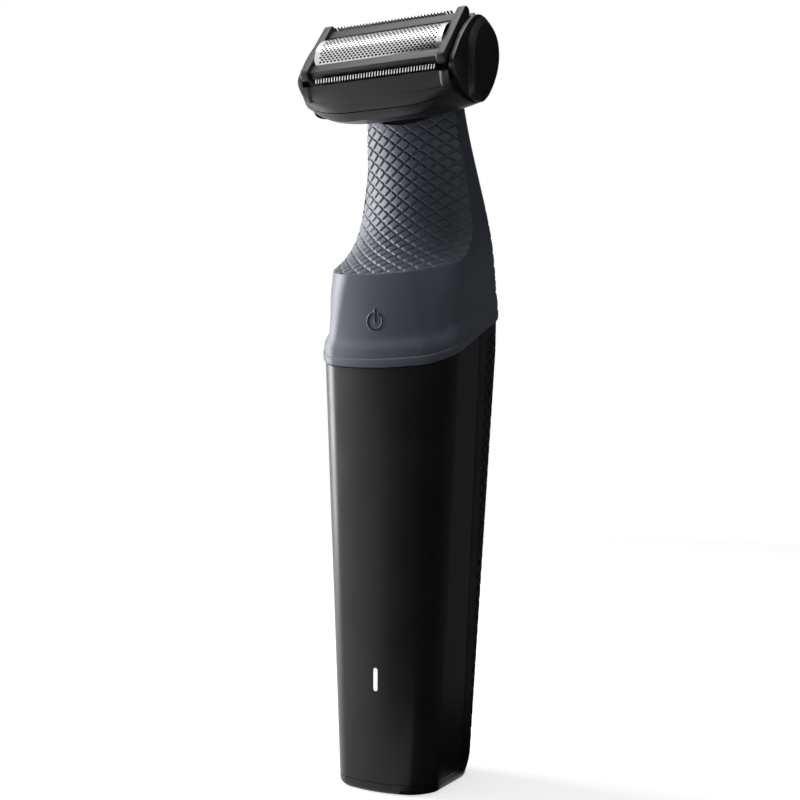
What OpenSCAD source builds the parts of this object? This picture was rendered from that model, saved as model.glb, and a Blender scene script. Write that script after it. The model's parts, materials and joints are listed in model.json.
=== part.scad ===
// Body groomer: a standing handle with a soft-touch neck and a tilted foil shaving head.
// Z runs up the handle, the front looks along -Y, and the origin is on the foot under the handle's axis.
// Sizes are in millimetres.

/* [Handle] */
// Height at which the handle is widest, just above the collar lip
collar_z = 102; // [99:0.5:106]
// Width of the handle at the foot
base_w = 25.9; // [24:0.1:28]
// Width of the handle at the collar lip
collar_w = 35.4; // [33.5:0.1:38]
// Distance from the axis to the front face
front_y = 15; // [14.5:0.1:16]
// Distance from the axis to the rear face at the foot
base_rear = 12.3; // [11.9:0.1:14]
// Distance from the axis to the rear face at the nape, where it is deepest
nape_rear = 18.5; // [17.8:0.1:19.4]
// Height of the nape
nape_z = 128; // [124:0.5:132]
// Corner radius of the front edges at the foot
foot_corner_r = 7; // [5:0.1:8]
// Corner radius of the front edges at the collar
collar_corner_r = 8; // [6:0.1:10]
// Corner radius of the rear edges
rear_corner_r = 7; // [5:0.1:8]
// How far the front face bulges at its middle
front_crown = 1.3; // [0.8:0.1:1.6]
// Rounding of the foot at the front
front_foot_r = 1; // [0.6:0.1:2]
// Rounding of the foot at the sides
side_foot_r = 4; // [2:0.1:5]
// Rounding of the foot at the rear
rear_foot_r = 6; // [4:0.1:8]
// Where the side seam between front shell and rear grip runs, behind the axis
seam_y = 2.5; // [1:0.1:3.5]
// Height of the base cap
base_cap_h = 2.4; // [2.3:0.1:3]

/* [Neck] */
// Height of the collar's lower edge at the front
lip_front_z = 97.3; // [96:0.1:99]
// Rise of the collar's lower edge from front to rear
lip_rise = 14.3; // [12:0.1:15]
// Height of the lip band
lip_h = 2; // [1.4:0.1:3]
// How far the lip band stands proud
lip_proud = 0.5; // [0.3:0.1:0.9]
// Height of the neck's top at the front
neck_z = 155.4; // [154.8:0.1:155.6]
// Width of the neck where it is slimmest
neck_w = 24.1; // [23.8:0.1:26]
// Distance from the axis to the rear face of the neck at its top
neck_rear = 13; // [12.4:0.1:14]
// Height at which the handle starts to taper to the neck
taper_z = 112; // [108:0.5:116]
// Height at which the neck is slimmest
waist_z = 160; // [156:0.5:164]
// Slope of the neck's top, in degrees
neck_top_tilt = 44; // [42:0.5:45]
// Corner radius of the front edges at the thumb scoop
scoop_corner_r = 11.5; // [10:0.1:13]
// Height at which the thumb scoop starts
scoop_z = 119.5; // [117:0.5:121]
// Depth of the thumb scoop
scoop_depth = 14.7; // [13.6:0.1:14.8]
// How far the scoop comes forward again at the neck's top
scoop_flare = 1.6; // [1.2:0.1:1.9]
// Length over which the scoop curves in
scoop_len = 8.4; // [7:0.1:10]

/* [Shell] */
// Wall of the front shell and the neck
wall = 1.8; // [1.4:0.1:2.1]
// Wall of the rear grip
grip_wall = 2.2; // [1.6:0.1:2.4]

/* [Light and button] */
// Height of the charge light above the foot
light_z = 26; // [24:0.5:30]
// Width of the charge light
light_w = 1.1; // [0.9:0.1:1.6]
// Length of the charge light
light_len = 5.3; // [4:0.1:7]
// Height of the power button's centre
button_z = 108; // [106:0.5:110]
// Diameter of the power button
button_d = 7.2; // [6:0.1:8.4]
// Travel of the power button
button_travel = 0.5; // [0.3:0.05:0.6]

/* [Inner frame] */
// Front face of the circuit board, in front of the axis
board_y = 9.2; // [8.9:0.1:9.5]
// Thickness of the circuit board
board_t = 1.2; // [0.8:0.1:1.6]
// Width of the circuit board
board_w = 18; // [14:0.5:20]
// Diameter of the cell
cell_d = 14.5; // [13:0.1:15]
// Length of the cell
cell_len = 50.5; // [44:0.1:52]
// Place of the cell's axis behind the handle's axis
cell_y = 1.5; // [1:0.1:1.7]
// Height of the cell's lower end
cell_z = 23.6; // [22:0.1:26]
// Thickness of the chassis plates
plate_t = 1.2; // [1:0.1:1.6]

/* [Drive] */
// Diameter of the motor can
motor_d = 17; // [15:0.1:18]
// Length of the motor can
motor_len = 26; // [24:0.1:27]
// Height of the motor's upper face
motor_top_z = 112; // [111.5:0.1:113]
// Place of the motor's axis behind the handle's axis
motor_y = 5; // [4.6:0.1:5.2]
// Diameter of the motor shaft
shaft_d = 2; // [1.5:0.1:2.4]
// Offset of the eccentric pin from the shaft, half the cutting stroke
throw = 1.2; // [0.8:0.05:1.3]
// Diameter of the eccentric pin
crank_pin_d = 2; // [1.5:0.1:2.4]
// Diameter of the drive pin in the head
drive_pin_d = 3; // [2.4:0.1:3.2]

/* [Head] */
// Forward tilt of the head, in degrees
head_tilt = 50; // [48:0.5:51]
// Place of the cutting face in front of the axis
head_y = 12.65; // [12.3:0.05:12.9]
// Height of the cutting face's middle
head_z = 172.2; // [172:0.1:173]
// Width of the head across the end caps
head_w = 43.8; // [43:0.1:45]
// Thickness of one end cap
end_cap_t = 2.8; // [2.4:0.05:3]
// Wall of the head housing
head_wall = 1.3; // [1:0.1:1.5]
// Radius of the boss that the head clicks on
boss_r = 5.5; // [5.2:0.1:5.6]

/* [Cassette] */
// Distance from the middle to each bar
bar_y = 6.55; // [6.4:0.05:6.6]
// Width of each bar
bar_w = 3; // [2.6:0.1:3.1]
// Height of the foil's arch above the bars
foil_rise = 2; // [1.4:0.1:2.4]
// Thickness of the foil
foil_t = 0.2; // [0.15:0.01:0.3]
// Thickness of one end post
post_t = 2.1; // [1.6:0.1:2.3]
// Pitch of the trimmer teeth
tooth_pitch = 0.86; // [0.75:0.01:1.2]
// Pitch of the cutter lamellae
lamella_pitch = 1.2; // [1:0.1:2]
// Travel of the floating cassette
float_travel = 1.5; // [1:0.1:1.6]

/* [Fits] */
// Gap between parts that stay together
joint_gap = 0.12; // [0.05:0.01:0.2]
// Gap around the button
button_gap = 0.15; // [0.1:0.01:0.25]
// Radial running gap of shafts
run_gap = 0.05; // [0.02:0.01:0.09]
// Gap between parts that slide past each other
slide_gap = 0.3; // [0.2:0.05:0.4]

/* [Hidden] */
$fn = 48;

// Colours
black_plastic = [0.09, 0.09, 0.10];
blue_grey = [0.36, 0.39, 0.44];
head_black = [0.12, 0.12, 0.13];
steel = [0.75, 0.76, 0.78];
board_green = [0.08, 0.28, 0.16];
frame_grey = [0.55, 0.56, 0.58];

// Exponents of the outline curves
nape_power = 1.7;
scoop_power = 1.5;
lip_power = 0.95;
// Height at which the scoop starts to come forward again
flare_z = 144;
// How much the scoop falls back towards its sides, per square millimetre
scoop_cross = 0.03;
// How much faster the inside of the scoop falls back than its wall
scoop_wall_share = 1.25;
// Segments of an outline's corner and of its front
corner_segs = 7;
// How far a cutting shape reaches past the faces that it cuts
over = 1;
// Least flat left at the middle of the front, and behind the side seam
least_flat = 0.3;
seam_flat = 1;
front_segs = 4;

// Small helpers
function lerp(a, b, t) = a + (b - a) * t;
function clamp01(t) = max(0, min(1, t));
function arc(cx, cy, r, a0, a1, n) =
    [for (i = [0:n]) [cx + r * cos(lerp(a0, a1, i / n)), cy + r * sin(lerp(a0, a1, i / n))]];
function eased(t) = t * t * (3 - 2 * t);
function reversed(list) = [for (i = [len(list) - 1:-1:0]) list[i]];
function mean(list) = [for (p = list) 1] * list / len(list);

// Handle outline: half width, rear, front corner radius and foot rounding at a height
function above(z, low, high) = max(0, z - low) / (high - low);
function half_w(z) = 0.5 * (z < collar_z
    ? lerp(base_w, collar_w, z / collar_z)
    : lerp(collar_w, neck_w, eased(clamp01((z - taper_z) / (waist_z - taper_z)))));
function rear_at(z) = z < nape_z
    ? lerp(base_rear, nape_rear, z / nape_z)
    : nape_rear - (nape_rear - neck_rear) * pow(above(z, nape_z, neck_z), nape_power);
function corner_at(z) = z < collar_z
    ? lerp(foot_corner_r, collar_corner_r, z / collar_z)
    : lerp(collar_corner_r, scoop_corner_r, clamp01((z - collar_z) / (scoop_z - collar_z)));
function foot_inset(z, r) = z >= r ? 0 : r - sqrt(r * r - (r - z) * (r - z));
function scoop_at(x, z) = -front_y - front_crown + scoop_cross * x * x
    + scoop_depth * (1 - exp(-pow(max(0, z - scoop_z) / scoop_len, scoop_power)))
    - scoop_flare * eased(clamp01((z - flare_z) / (neck_z - flare_z)));
function scooped(x, y, z, t) = z <= scoop_z ? y : max(y, scoop_at(x, z) + t * scoop_wall_share);

// Front half of the outline, from the right seam round the front to the left seam, set in by t
function front_outline(z, t) =
    let (hw = half_w(z) - foot_inset(z, side_foot_r) - t)
    let (fy = -front_y + foot_inset(z, front_foot_r) + t)
    let (r = min(corner_at(z), half_w(z) - least_flat) - t)
    let (flat = hw - r)
    let (points = concat(
        [[hw, seam_y]],
        arc(hw - r, fy + r, r, 0, -90, corner_segs),
        [for (i = [1:front_segs - 1]) [lerp(flat, -flat, i / front_segs), fy]],
        arc(r - hw, fy + r, r, -90, -180, corner_segs),
        [[-hw, seam_y]]))
    [for (p = points)
        let (bulge = p[1] < fy + r ? front_crown * (1 - pow(p[0] / hw, 2)) * (fy + r - p[1]) / r : 0)
        [p[0], scooped(p[0], p[1] - bulge, z, t)]];

// Rear half of the outline, from the left seam round the rear to the right seam, set in by t
function rear_outline(z, t) =
    let (hw = half_w(z) - foot_inset(z, side_foot_r) - t)
    let (ry = rear_at(z) - foot_inset(z, rear_foot_r) - t)
    let (r = min(rear_corner_r, ry + t - seam_y - seam_flat) - t)
    concat([[-hw, seam_y]],
        arc(r - hw, ry - r, r, 180, 90, corner_segs),
        arc(hw - r, ry - r, r, 90, 0, corner_segs),
        [[hw, seam_y]]);

function inner_part(list) = [for (i = [1:len(list) - 2]) list[i]];
function full_outline(z, t) = concat(front_outline(z, t), inner_part(rear_outline(z, t)));

// Heights of the slanted collar edge and of the slanted neck top at a depth
lip_start_y = -front_y - front_crown;
function lip_z(y) = lip_front_z
    + lip_rise * pow(clamp01((y - lip_start_y) / (nape_rear - lip_start_y)), lip_power);
scoop_floor_y = scoop_at(0, neck_z);
function neck_top_z(y) = neck_z + (y - scoop_floor_y) * tan(neck_top_tilt);

// Surfaces between lists of points
// Triangles between two closed rings of n points that start at a and b
function band(n, a, b) = [for (i = [0:n - 1]) let (j = (i + 1) % n)
    each [[a + i, b + j, b + i], [a + i, a + j, b + j]]];
// Triangles across a ring whose second half runs back along its first half
function strip_cap(n, a, flip) = [for (i = [0:n / 2 - 2])
    let (p = a + i, q = a + i + 1, r = a + n - 2 - i, s = a + n - 1 - i)
    each (flip ? [[p, r, q], [p, s, r]] : [[p, q, r], [p, r, s]])];
// Triangles from a middle point to a ring
function fan_cap(n, a, middle, flip) = [for (i = [0:n - 1]) let (j = (i + 1) % n)
    flip ? [middle, a + j, a + i] : [middle, a + i, a + j]];

// A solid through rings whose ends are bands between an outer and an inner line
module strip_loft(rings) {
    n = len(rings[0]);
    last = len(rings) - 1;
    polyhedron([for (r = rings) each r], concat(
        strip_cap(n, 0, true),
        [for (k = [0:last - 1]) each band(n, k * n, (k + 1) * n)],
        strip_cap(n, last * n, false)));
}

// A solid through rings with closed ends
module solid_loft(rings) {
    n = len(rings[0]);
    last = len(rings) - 1;
    total = n * len(rings);
    polyhedron(concat([for (r = rings) each r], [mean(rings[0]), mean(rings[last])]), concat(
        fan_cap(n, 0, total, true),
        [for (k = [0:last - 1]) each band(n, k * n, (k + 1) * n)],
        fan_cap(n, last * n, total + 1, false)));
}

// A tube through outer rings and inner rings, open at both ends
module tube_loft(outer, inner) {
    n = len(outer[0]);
    last = len(outer) - 1;
    base = n * len(outer);
    polyhedron(concat([for (r = outer) each r], [for (r = inner) each r]), concat(
        [for (k = [0:last - 1]) each band(n, k * n, (k + 1) * n)],
        [for (k = [0:last - 1]) each band(n, base + (k + 1) * n, base + k * n)],
        band(n, base, 0),
        band(n, last * n, base + last * n)));
}

// Shell rings: outlines at heights that run from the base cap to the slanted collar edge
shell_steps = [0, 0.01, 0.026, 0.046, 0.072, 0.35, 0.7, 1];
shell_z0 = base_cap_h + joint_gap / 2;
function shell_height(y, v) = lerp(shell_z0, lip_z(y) - joint_gap / 2, v);
function nominal_height(v) = lerp(shell_z0, lip_front_z, v);
function front_ring(v, t) = [for (j = [0:len(front_outline(0, t)) - 1])
    let (z = shell_height(front_outline(nominal_height(v), t)[j][1], v))
    let (p = front_outline(z, t)[j])
    [p[0], p[1], z]];
function rear_ring(v, t) = [for (j = [0:len(rear_outline(0, t)) - 1])
    let (z = shell_height(rear_outline(nominal_height(v), t)[j][1], v))
    let (p = rear_outline(z, t)[j])
    [p[0], p[1] < seam_y + joint_gap ? seam_y + joint_gap : p[1], z]];

// Light slot through the front wall
module light_slot(gap) {
    straight = light_len - light_w;
    translate([0, 0, light_z]) rotate([90, 0, 0]) linear_extrude(front_y + 2 * front_crown) {
        square([light_w + 2 * gap, straight], center = true);
        for (side = [-1, 1]) translate([0, side * straight / 2]) circle(light_w / 2 + gap);
    }
}

module front_shell() {
    color(black_plastic) difference() {
        strip_loft([for (v = shell_steps) concat(front_ring(v, 0), reversed(front_ring(v, wall)))]);
        light_slot(run_gap);
    }
}

module rear_grip() {
    color(black_plastic)
        strip_loft([for (v = shell_steps) concat(rear_ring(v, 0), reversed(rear_ring(v, grip_wall)))]);
}

// Charging mouth in the foot
mouth_w = 8.6;
mouth_d = 5.4;
mouth_y = -6.5;
socket_rim = 1.2;
socket_h = 10;
socket_depth = 8;
module mouth(z0, height) {
    translate([-mouth_w / 2, mouth_y - mouth_d / 2, z0]) cube([mouth_w, mouth_d, height]);
}

module base_cap() {
    levels = [0, 0.15, 0.4, 0.8, 1.3, 2, base_cap_h - joint_gap / 2];
    color(black_plastic) difference() {
        solid_loft([for (z = levels) [for (p = full_outline(z, 0)) [p[0], p[1], z]]]);
        mouth(-over, base_cap_h + 2 * over);
    }
}

// Collar and neck: lip band, step in, then up to the slanted top
neck_steps = [0, 0.08, 0.16, 0.24, 0.31, 0.355, 0.385, 0.415, 0.445, 0.48, 0.52, 0.58, 0.65, 0.74,
              0.83, 0.92, 1];
lip_step = 0.4;
lip_start = joint_gap / 2;
lip_end = lip_start + lip_h;
collar_start = lip_end + lip_step;
function collar_height(y, v) = lerp(lip_z(y) + collar_start, neck_top_z(y), v);
// Height of point j of a ring, settled so that it lies on the slanted ring at its own depth
settle_rounds = 5;
function settled(j, v, t, z, rounds) = rounds == 0 ? z
    : settled(j, v, t, (z + collar_height(full_outline(z, t)[j][1], v)) / 2, rounds - 1);
function collar_ring(v, t) = [for (j = [0:len(full_outline(0, 0)) - 1])
    let (z = settled(j, v, t, lerp(lip_front_z + collar_start, neck_z, v), settle_rounds))
    let (p = full_outline(z, t)[j])
    [p[0], p[1], z]];
function lip_ring(rise, t) = [for (j = [0:len(full_outline(0, 0)) - 1])
    let (z = lip_z(full_outline(lip_front_z, 0)[j][1]) + rise)
    let (p = full_outline(z, t)[j])
    [p[0], p[1], z]];

module button_bore(gap) {
    translate([0, 0, button_z]) rotate([90, 0, 0]) cylinder(d = button_d + 2 * gap, h = front_y + 2 * over);
}

module neck_grip() {
    outer = concat([lip_ring(lip_start, -lip_proud), lip_ring(lip_end, -lip_proud)],
        [for (v = neck_steps) collar_ring(v, 0)]);
    inner = concat([lip_ring(lip_start, wall), lip_ring(lip_end, wall)],
        [for (v = neck_steps) collar_ring(v, wall)]);
    color(blue_grey) difference() {
        tube_loft(outer, inner);
        button_bore(button_gap);
    }
}

// Circuit board and what it carries
board_back = -board_y + board_t;
board_z0 = 14;
switch_size = 4.5;
switch_t = 1.6;
knob_d = 1.8;
knob_len = 0.4;
led_size = [2, 0.9, 1.4];
panel_back = -front_y + wall;
switch_tip_y = -board_y - switch_t - knob_len;
plunger_tip_y = switch_tip_y - button_travel - run_gap;
flange_rim = 1;
flange_d = button_d + 2 * flange_rim;
flange_t = 0.6;

// Along -Y from a depth, for pieces that face the front
module forward(y, z) {
    translate([0, y, z]) rotate([90, 0, 0]) children();
}

module power_button() {
    flange_y = panel_back + slide_gap + flange_t;
    color(blue_grey) {
        forward(flange_y, button_z) cylinder(d = flange_d, h = flange_t);
        forward(flange_y, button_z) cylinder(d = button_d, h = flange_y + front_y + front_crown);
        forward(plunger_tip_y, button_z) cylinder(d = knob_d, h = plunger_tip_y - flange_y + flange_t);
    }
}

module light_pipe() {
    back = -board_y - led_size[1] - slide_gap;
    color("white") difference() {
        light_slot(0);
        translate([-light_len, back, 0]) cube([2 * light_len, front_y, 2 * light_z]);
    }
}

module circuit_board() {
    board_top = motor_top_z - slide_gap;
    color(board_green) difference() {
        translate([-board_w / 2, -board_y, board_z0]) cube([board_w, board_t, board_top - board_z0]);
        for (z = screw_heights) forward(0, z) cylinder(d = screw_d + 2 * slide_gap, h = front_y);
    }
}

module tact_switch() {
    color(frame_grey) {
        translate([-switch_size / 2, -board_y - switch_t, button_z - switch_size / 2])
            cube([switch_size, switch_t, switch_size]);
        forward(-board_y - switch_t, button_z) cylinder(d = knob_d, h = knob_len);
    }
}

module status_led() {
    color("white") translate([-led_size[0] / 2, -board_y - led_size[1], light_z - led_size[2] / 2])
        cube(led_size);
}

// Chassis: legs, shelves for the cell, spine, struts and the motor plate
tab_t = 0.3;
nub_h = 1;
nub_d = 5.5;
shelf_top = cell_z - tab_t - joint_gap;
upper_shelf_z = cell_z + cell_len + tab_t + joint_gap;
frame_half = 8;
spine_y = cell_y + cell_d / 2 + slide_gap;
strut_room = 0.8;
strut_in = motor_d / 2 + strut_room;
strut_t = 2;
motor_plate_t = 1.5;
motor_bottom_z = motor_top_z - motor_len;
boss_d = 4.4;
screw_d = 1.7;
screw_len = 6;
screw_head_d = 3.6;
screw_head_h = 1.3;
boss_sink = 0.4;
screw_rise = plate_t + boss_d / 2 - boss_sink;
screw_heights = [shelf_top - screw_rise, upper_shelf_z + screw_rise];
motor_boss_d = 6;
motor_screw_x = 5;
motor_screw_d = 1.6;
motor_screw_len = 3;
motor_screw_head_d = 3;
motor_screw_head_h = 0.9;
plate_front = board_back;
motor_plate_half = 6;
strut_d = 6;
leg_w = 1.5;
leg_d = 6;
leg_y = -2;
driver_slot = 0.6;

// A plate between two depths at a height
module shelf(half, y0, y1, z, t) {
    translate([-half, y0, z]) cube([2 * half, y1 - y0, t]);
}

module chassis() {
    spine_top = screw_heights[1] + boss_d / 2 + boss_sink;
    strut_out = strut_in + strut_t;
    strut_x = strut_in + strut_t / 2;
    motor_fit = 2 * run_gap;
    color(frame_grey) difference() {
        union() {
            shelf(frame_half, plate_front, spine_y + plate_t, shelf_top - plate_t, plate_t);
            shelf(strut_out, plate_front, spine_y + plate_t, upper_shelf_z, plate_t);
            shelf(frame_half, spine_y, spine_y + plate_t, board_z0, spine_top - board_z0);
            for (z = screw_heights) forward(spine_y + plate_t, z)
                cylinder(d = boss_d, h = spine_y + plate_t - plate_front);
            for (side = [-1, 1]) {
                translate([side * (frame_half - leg_w / 2) - leg_w / 2, leg_y, base_cap_h])
                    cube([leg_w, leg_d, shelf_top - base_cap_h]);
                translate([side * strut_x - strut_t / 2, motor_y - strut_d / 2, upper_shelf_z])
                    cube([strut_t, strut_d, motor_top_z + motor_plate_t - upper_shelf_z]);
            }
            shelf(strut_out, motor_y - motor_plate_half, motor_y + motor_plate_half, motor_top_z,
                motor_plate_t);
        }
        for (z = screw_heights) forward(plate_front + screw_len, z)
            cylinder(d = screw_d + 2 * run_gap, h = screw_len + over);
        translate([0, motor_y, motor_top_z - over]) {
            cylinder(d = motor_boss_d + motor_fit, h = motor_plate_t + 2 * over);
            for (side = [-1, 1]) translate([side * motor_screw_x, 0, 0])
                cylinder(d = motor_screw_d + motor_fit, h = motor_plate_t + 2 * over);
        }
    }
}

module board_screws() {
    color(steel) for (z = screw_heights) {
        forward(plate_front + screw_len - over, z) cylinder(d = screw_d, h = board_t + screw_len - over);
        forward(-board_y, z) difference() {
            cylinder(d = screw_head_d, h = screw_head_h);
            translate([-screw_head_d, -driver_slot / 2, screw_head_h - driver_slot])
                cube([2 * screw_head_d, driver_slot, 2 * driver_slot]);
        }
    }
}

module battery_cell() {
    color("royalblue") translate([0, cell_y, cell_z]) {
        cylinder(d = cell_d, h = cell_len - nub_h);
        cylinder(d = nub_d, h = cell_len);
    }
}

module battery_tabs() {
    tab_w = 7;
    lead_y = board_back;
    color(steel) for (z = [shelf_top, upper_shelf_z - tab_t])
        translate([-tab_w / 2, lead_y, z]) cube([tab_w, cell_y + tab_w / 2 - lead_y, tab_t]);
}

// Charging socket and pins
pin_d = 1.2;
pin_x = 2.1;
pin_tip_z = 5;
pin_tail = 1;
pin_head_d = 2.2;
pin_head_h = 0.6;
socket_z = base_cap_h;

module charging_socket() {
    color(head_black) difference() {
        translate([-mouth_w / 2 - socket_rim, mouth_y - mouth_d / 2 - socket_rim, socket_z])
            cube([mouth_w + 2 * socket_rim, mouth_d + 2 * socket_rim, socket_h]);
        mouth(socket_z - over, socket_depth + over);
        for (side = [-1, 1]) translate([side * pin_x, mouth_y, socket_z])
            cylinder(d = pin_d + 2 * run_gap, h = socket_h + over);
    }
}

module charging_pins() {
    color(steel) for (side = [-1, 1]) translate([side * pin_x, mouth_y, 0]) {
        translate([0, 0, pin_tip_z]) cylinder(d = pin_d, h = socket_z + socket_h + pin_tail - pin_tip_z);
        translate([0, 0, socket_z + socket_h]) cylinder(d = pin_head_d, h = pin_head_h);
    }
}

// Motor, shaft and eccentric
shaft_depth = 6;
disc_d = 8;
disc_h = 3;
disc_z = motor_top_z + motor_plate_t + motor_screw_head_h + slide_gap;
crank_pin_h = 4.6;
yoke_z = disc_z + disc_h + slide_gap;
shaft_top = disc_z + disc_h - slide_gap;

module motor() {
    terminal = [0.5, 2.4, 3];
    terminal_x = 5;
    rear_boss_h = 1;
    color(steel) translate([0, motor_y, 0]) difference() {
        union() {
            translate([0, 0, motor_bottom_z]) cylinder(d = motor_d, h = motor_len);
            translate([0, 0, motor_top_z]) cylinder(d = motor_boss_d, h = motor_plate_t);
            translate([0, 0, motor_bottom_z - rear_boss_h]) cylinder(d = motor_boss_d, h = 2 * rear_boss_h);
            for (side = [-1, 1])
                translate([side * terminal_x, -terminal[1] / 2, motor_bottom_z - terminal[2]])
                    cube([terminal[0], terminal[1], terminal[2] + over]);
        }
        translate([0, 0, motor_top_z - shaft_depth])
            cylinder(d = shaft_d + 2 * run_gap, h = 2 * shaft_depth);
        for (side = [-1, 1]) translate([side * motor_screw_x, 0, motor_top_z - motor_screw_len - over])
            cylinder(d = motor_screw_d + 2 * run_gap, h = motor_screw_len + 2 * over);
    }
}

module motor_screws() {
    color(steel) for (side = [-1, 1]) translate([side * motor_screw_x, motor_y, 0]) {
        translate([0, 0, motor_top_z - motor_screw_len])
            cylinder(d = motor_screw_d, h = motor_plate_t + motor_screw_len);
        translate([0, 0, motor_top_z + motor_plate_t])
            cylinder(d = motor_screw_head_d, h = motor_screw_head_h);
    }
}

module motor_shaft() {
    bottom = motor_top_z - shaft_depth + slide_gap;
    color(steel) translate([0, motor_y, bottom]) cylinder(d = shaft_d, h = shaft_top - bottom);
}

module eccentric() {
    color("ivory") translate([0, motor_y, disc_z]) difference() {
        union() {
            cylinder(d = disc_d, h = disc_h);
            translate([0, -throw, disc_h]) cylinder(d = crank_pin_d, h = crank_pin_h);
        }
        translate([0, 0, -over]) cylinder(d = shaft_d, h = shaft_top - disc_z + over);
    }
}

// Oscillating bridge: yoke over the eccentric pin, stem up the neck, knuckle and drive pin into the head
yoke_half_x = 4.5;
yoke_half_y = 4;
slot_side_gap = 0.3;
slot_room = 0.2;
yoke_roof = 2;
yoke_h = crank_pin_h + slot_room + yoke_roof;
guide_z = yoke_z + yoke_h + slide_gap / 2;
guide_t = 1.6;
stem_half_x = 2;
stem_half_y = 1.75;
shoe_t = 1.5;
pin_off = 1;
knuckle_r = 2.3;
slot_roof = -3.5;
pin_tip = slot_roof - float_travel - slide_gap;
knuckle_local = (-head_y + pin_off * cos(head_tilt) - motor_y) / sin(head_tilt);
knuckle_z = head_z + pin_off * sin(head_tilt) + knuckle_local * cos(head_tilt);

// The head's own frame: x along the foil, y up and back across it, z out of the cutting face
module in_head() {
    translate([0, -head_y, head_z]) rotate([head_tilt, 0, 0]) children();
}

module arm_guide() {
    guide_half = 10;
    guide_front = 6;
    guide_rear = 5;
    guide_leg_t = 1.4;
    guide_leg_x = guide_half - guide_leg_t / 2;
    slot_half_x = stem_half_x + throw + slide_gap;
    slot_half_y = stem_half_y + run_gap;
    base_z = motor_top_z + motor_plate_t;
    color(frame_grey) difference() {
        union() {
            shelf(guide_half, motor_y - guide_front, motor_y + guide_rear, guide_z, guide_t);
            for (side = [-1, 1])
                translate([side * guide_leg_x - guide_leg_t / 2, motor_y - leg_d / 2, base_z])
                    cube([guide_leg_t, leg_d, guide_z - base_z + guide_t]);
        }
        translate([-slot_half_x, motor_y - slot_half_y, guide_z - over])
            cube([2 * slot_half_x, 2 * slot_half_y, guide_t + 2 * over]);
    }
}

// A block of the bridge, as wide and deep as its yoke
module bridge_block(z, h) {
    translate([-yoke_half_x, -yoke_half_y, z]) cube([2 * yoke_half_x, 2 * yoke_half_y, h]);
}

module drive_arm() {
    slot_w = crank_pin_d + 2 * slot_side_gap;
    slot_len = crank_pin_d + 2 * throw + 2 * slide_gap;
    shoe_z = guide_z + guide_t + slide_gap / 2;
    stem_z = yoke_z + yoke_h - over;
    color("ivory") {
        translate([0, motor_y, 0]) difference() {
            union() {
                bridge_block(yoke_z, yoke_h);
                bridge_block(shoe_z, shoe_t);
                translate([-stem_half_x, -stem_half_y, stem_z])
                    cube([2 * stem_half_x, 2 * stem_half_y, knuckle_z - stem_z]);
                translate([0, 0, knuckle_z]) sphere(knuckle_r);
            }
            translate([-slot_w / 2, -slot_len / 2, yoke_z - over])
                cube([slot_w, slot_len, over + crank_pin_h + slot_room]);
        }
        in_head() translate([0, pin_off, knuckle_local])
            cylinder(d = drive_pin_d, h = pin_tip - knuckle_local);
    }
}

// Closed top of the neck with the boss that the head clicks on, which starts just above the neck's rim
plug_t = 2;
plug_rise = 0.3;
boss_bottom = -21;
boss_top = -16.4;
boss_bore_r = 3.8;
bore_reach = 10;
seal_t = 1.6;

module below_neck_top(size) {
    translate([0, scoop_floor_y, neck_z + joint_gap]) rotate([neck_top_tilt, 0, 0])
        translate([-size, -size, -size]) cube([2 * size, 2 * size, size]);
}

module neck_plug() {
    inset = wall + joint_gap;
    top_ring = collar_ring(1, inset);
    color(head_black) difference() {
        union() {
            solid_loft([for (drop = [plug_t, -plug_rise]) [for (p = top_ring) [p[0], p[1], p[2] - drop]]]);
            difference() {
                in_head() translate([0, pin_off, boss_bottom])
                    cylinder(r = boss_r, h = boss_top - boss_bottom);
                below_neck_top(2 * boss_r + neck_w);
            }
        }
        in_head() translate([0, pin_off, boss_bottom - bore_reach])
            cylinder(r = boss_bore_r, h = 2 * bore_reach);
    }
}

module neck_seal() {
    inner_r = drive_pin_d / 2 + throw + slide_gap;
    color("dimgray") in_head() translate([0, pin_off, boss_top - seal_t]) difference() {
        cylinder(r = boss_bore_r, h = seal_t);
        translate([0, 0, -over]) cylinder(r = inner_r, h = seal_t + 2 * over);
    }
}

// Head housing: boat profile across the head, front edge first, then under the keel to the rear edge
rim_z = -2.3;
hull_profile = [[-10.2, rim_z], [-13.2, -5.1], [-15.1, -7.7], [-15.5, -10], [-12, -13.6], [-4.5, -17.2],
                [3.5, -18.6], [11, -16.2], [14.2, -11.5], [13.4, -6.5], [11.2, rim_z]];
hull_segs = 2;
hull_middle = [0, -3];
hull_straight = 6;
end_power = 2.2;
front_pinch = 0.5;
rear_pinch = 0.12;
keel_lift = 0.12;
head_half = head_w / 2;
housing_half = head_half - end_cap_t;
hull_depth = 7;

function catmull(a, b, c, d, t) = 0.5 * (2 * b + (c - a) * t
    + (2 * a - 5 * b + 4 * c - d) * t * t + (3 * b - a - 3 * c + d) * t * t * t);
function spline(p, n) = let (m = len(p) - 1)
    concat([for (i = [0:m - 1]) for (k = [0:n - 1])
        catmull(p[max(0, i - 1)], p[i], p[i + 1], p[min(m, i + 2)], k / n)], [p[m]]);

function end_share(x) = pow(clamp01((abs(x) - hull_straight) / (head_half - hull_straight)), end_power);
function hull_point(p, x) =
    let (deep = clamp01((rim_z - p[1]) / hull_depth))
    let (pinch = p[0] < 0 ? front_pinch : rear_pinch)
    [p[0] * (1 - pinch * end_share(x) * deep), rim_z + (p[1] - rim_z) * (1 - keel_lift * end_share(x))];
function hull_line(x, size) = [for (p = spline(hull_profile, hull_segs))
    let (q = hull_middle + size * (hull_point(p, x) - hull_middle))
    [x, q[0], q[1]]];
hull_size = 16;
hull_wall_share = 1 - head_wall / hull_size;
boss_room = 0.2;

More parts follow.
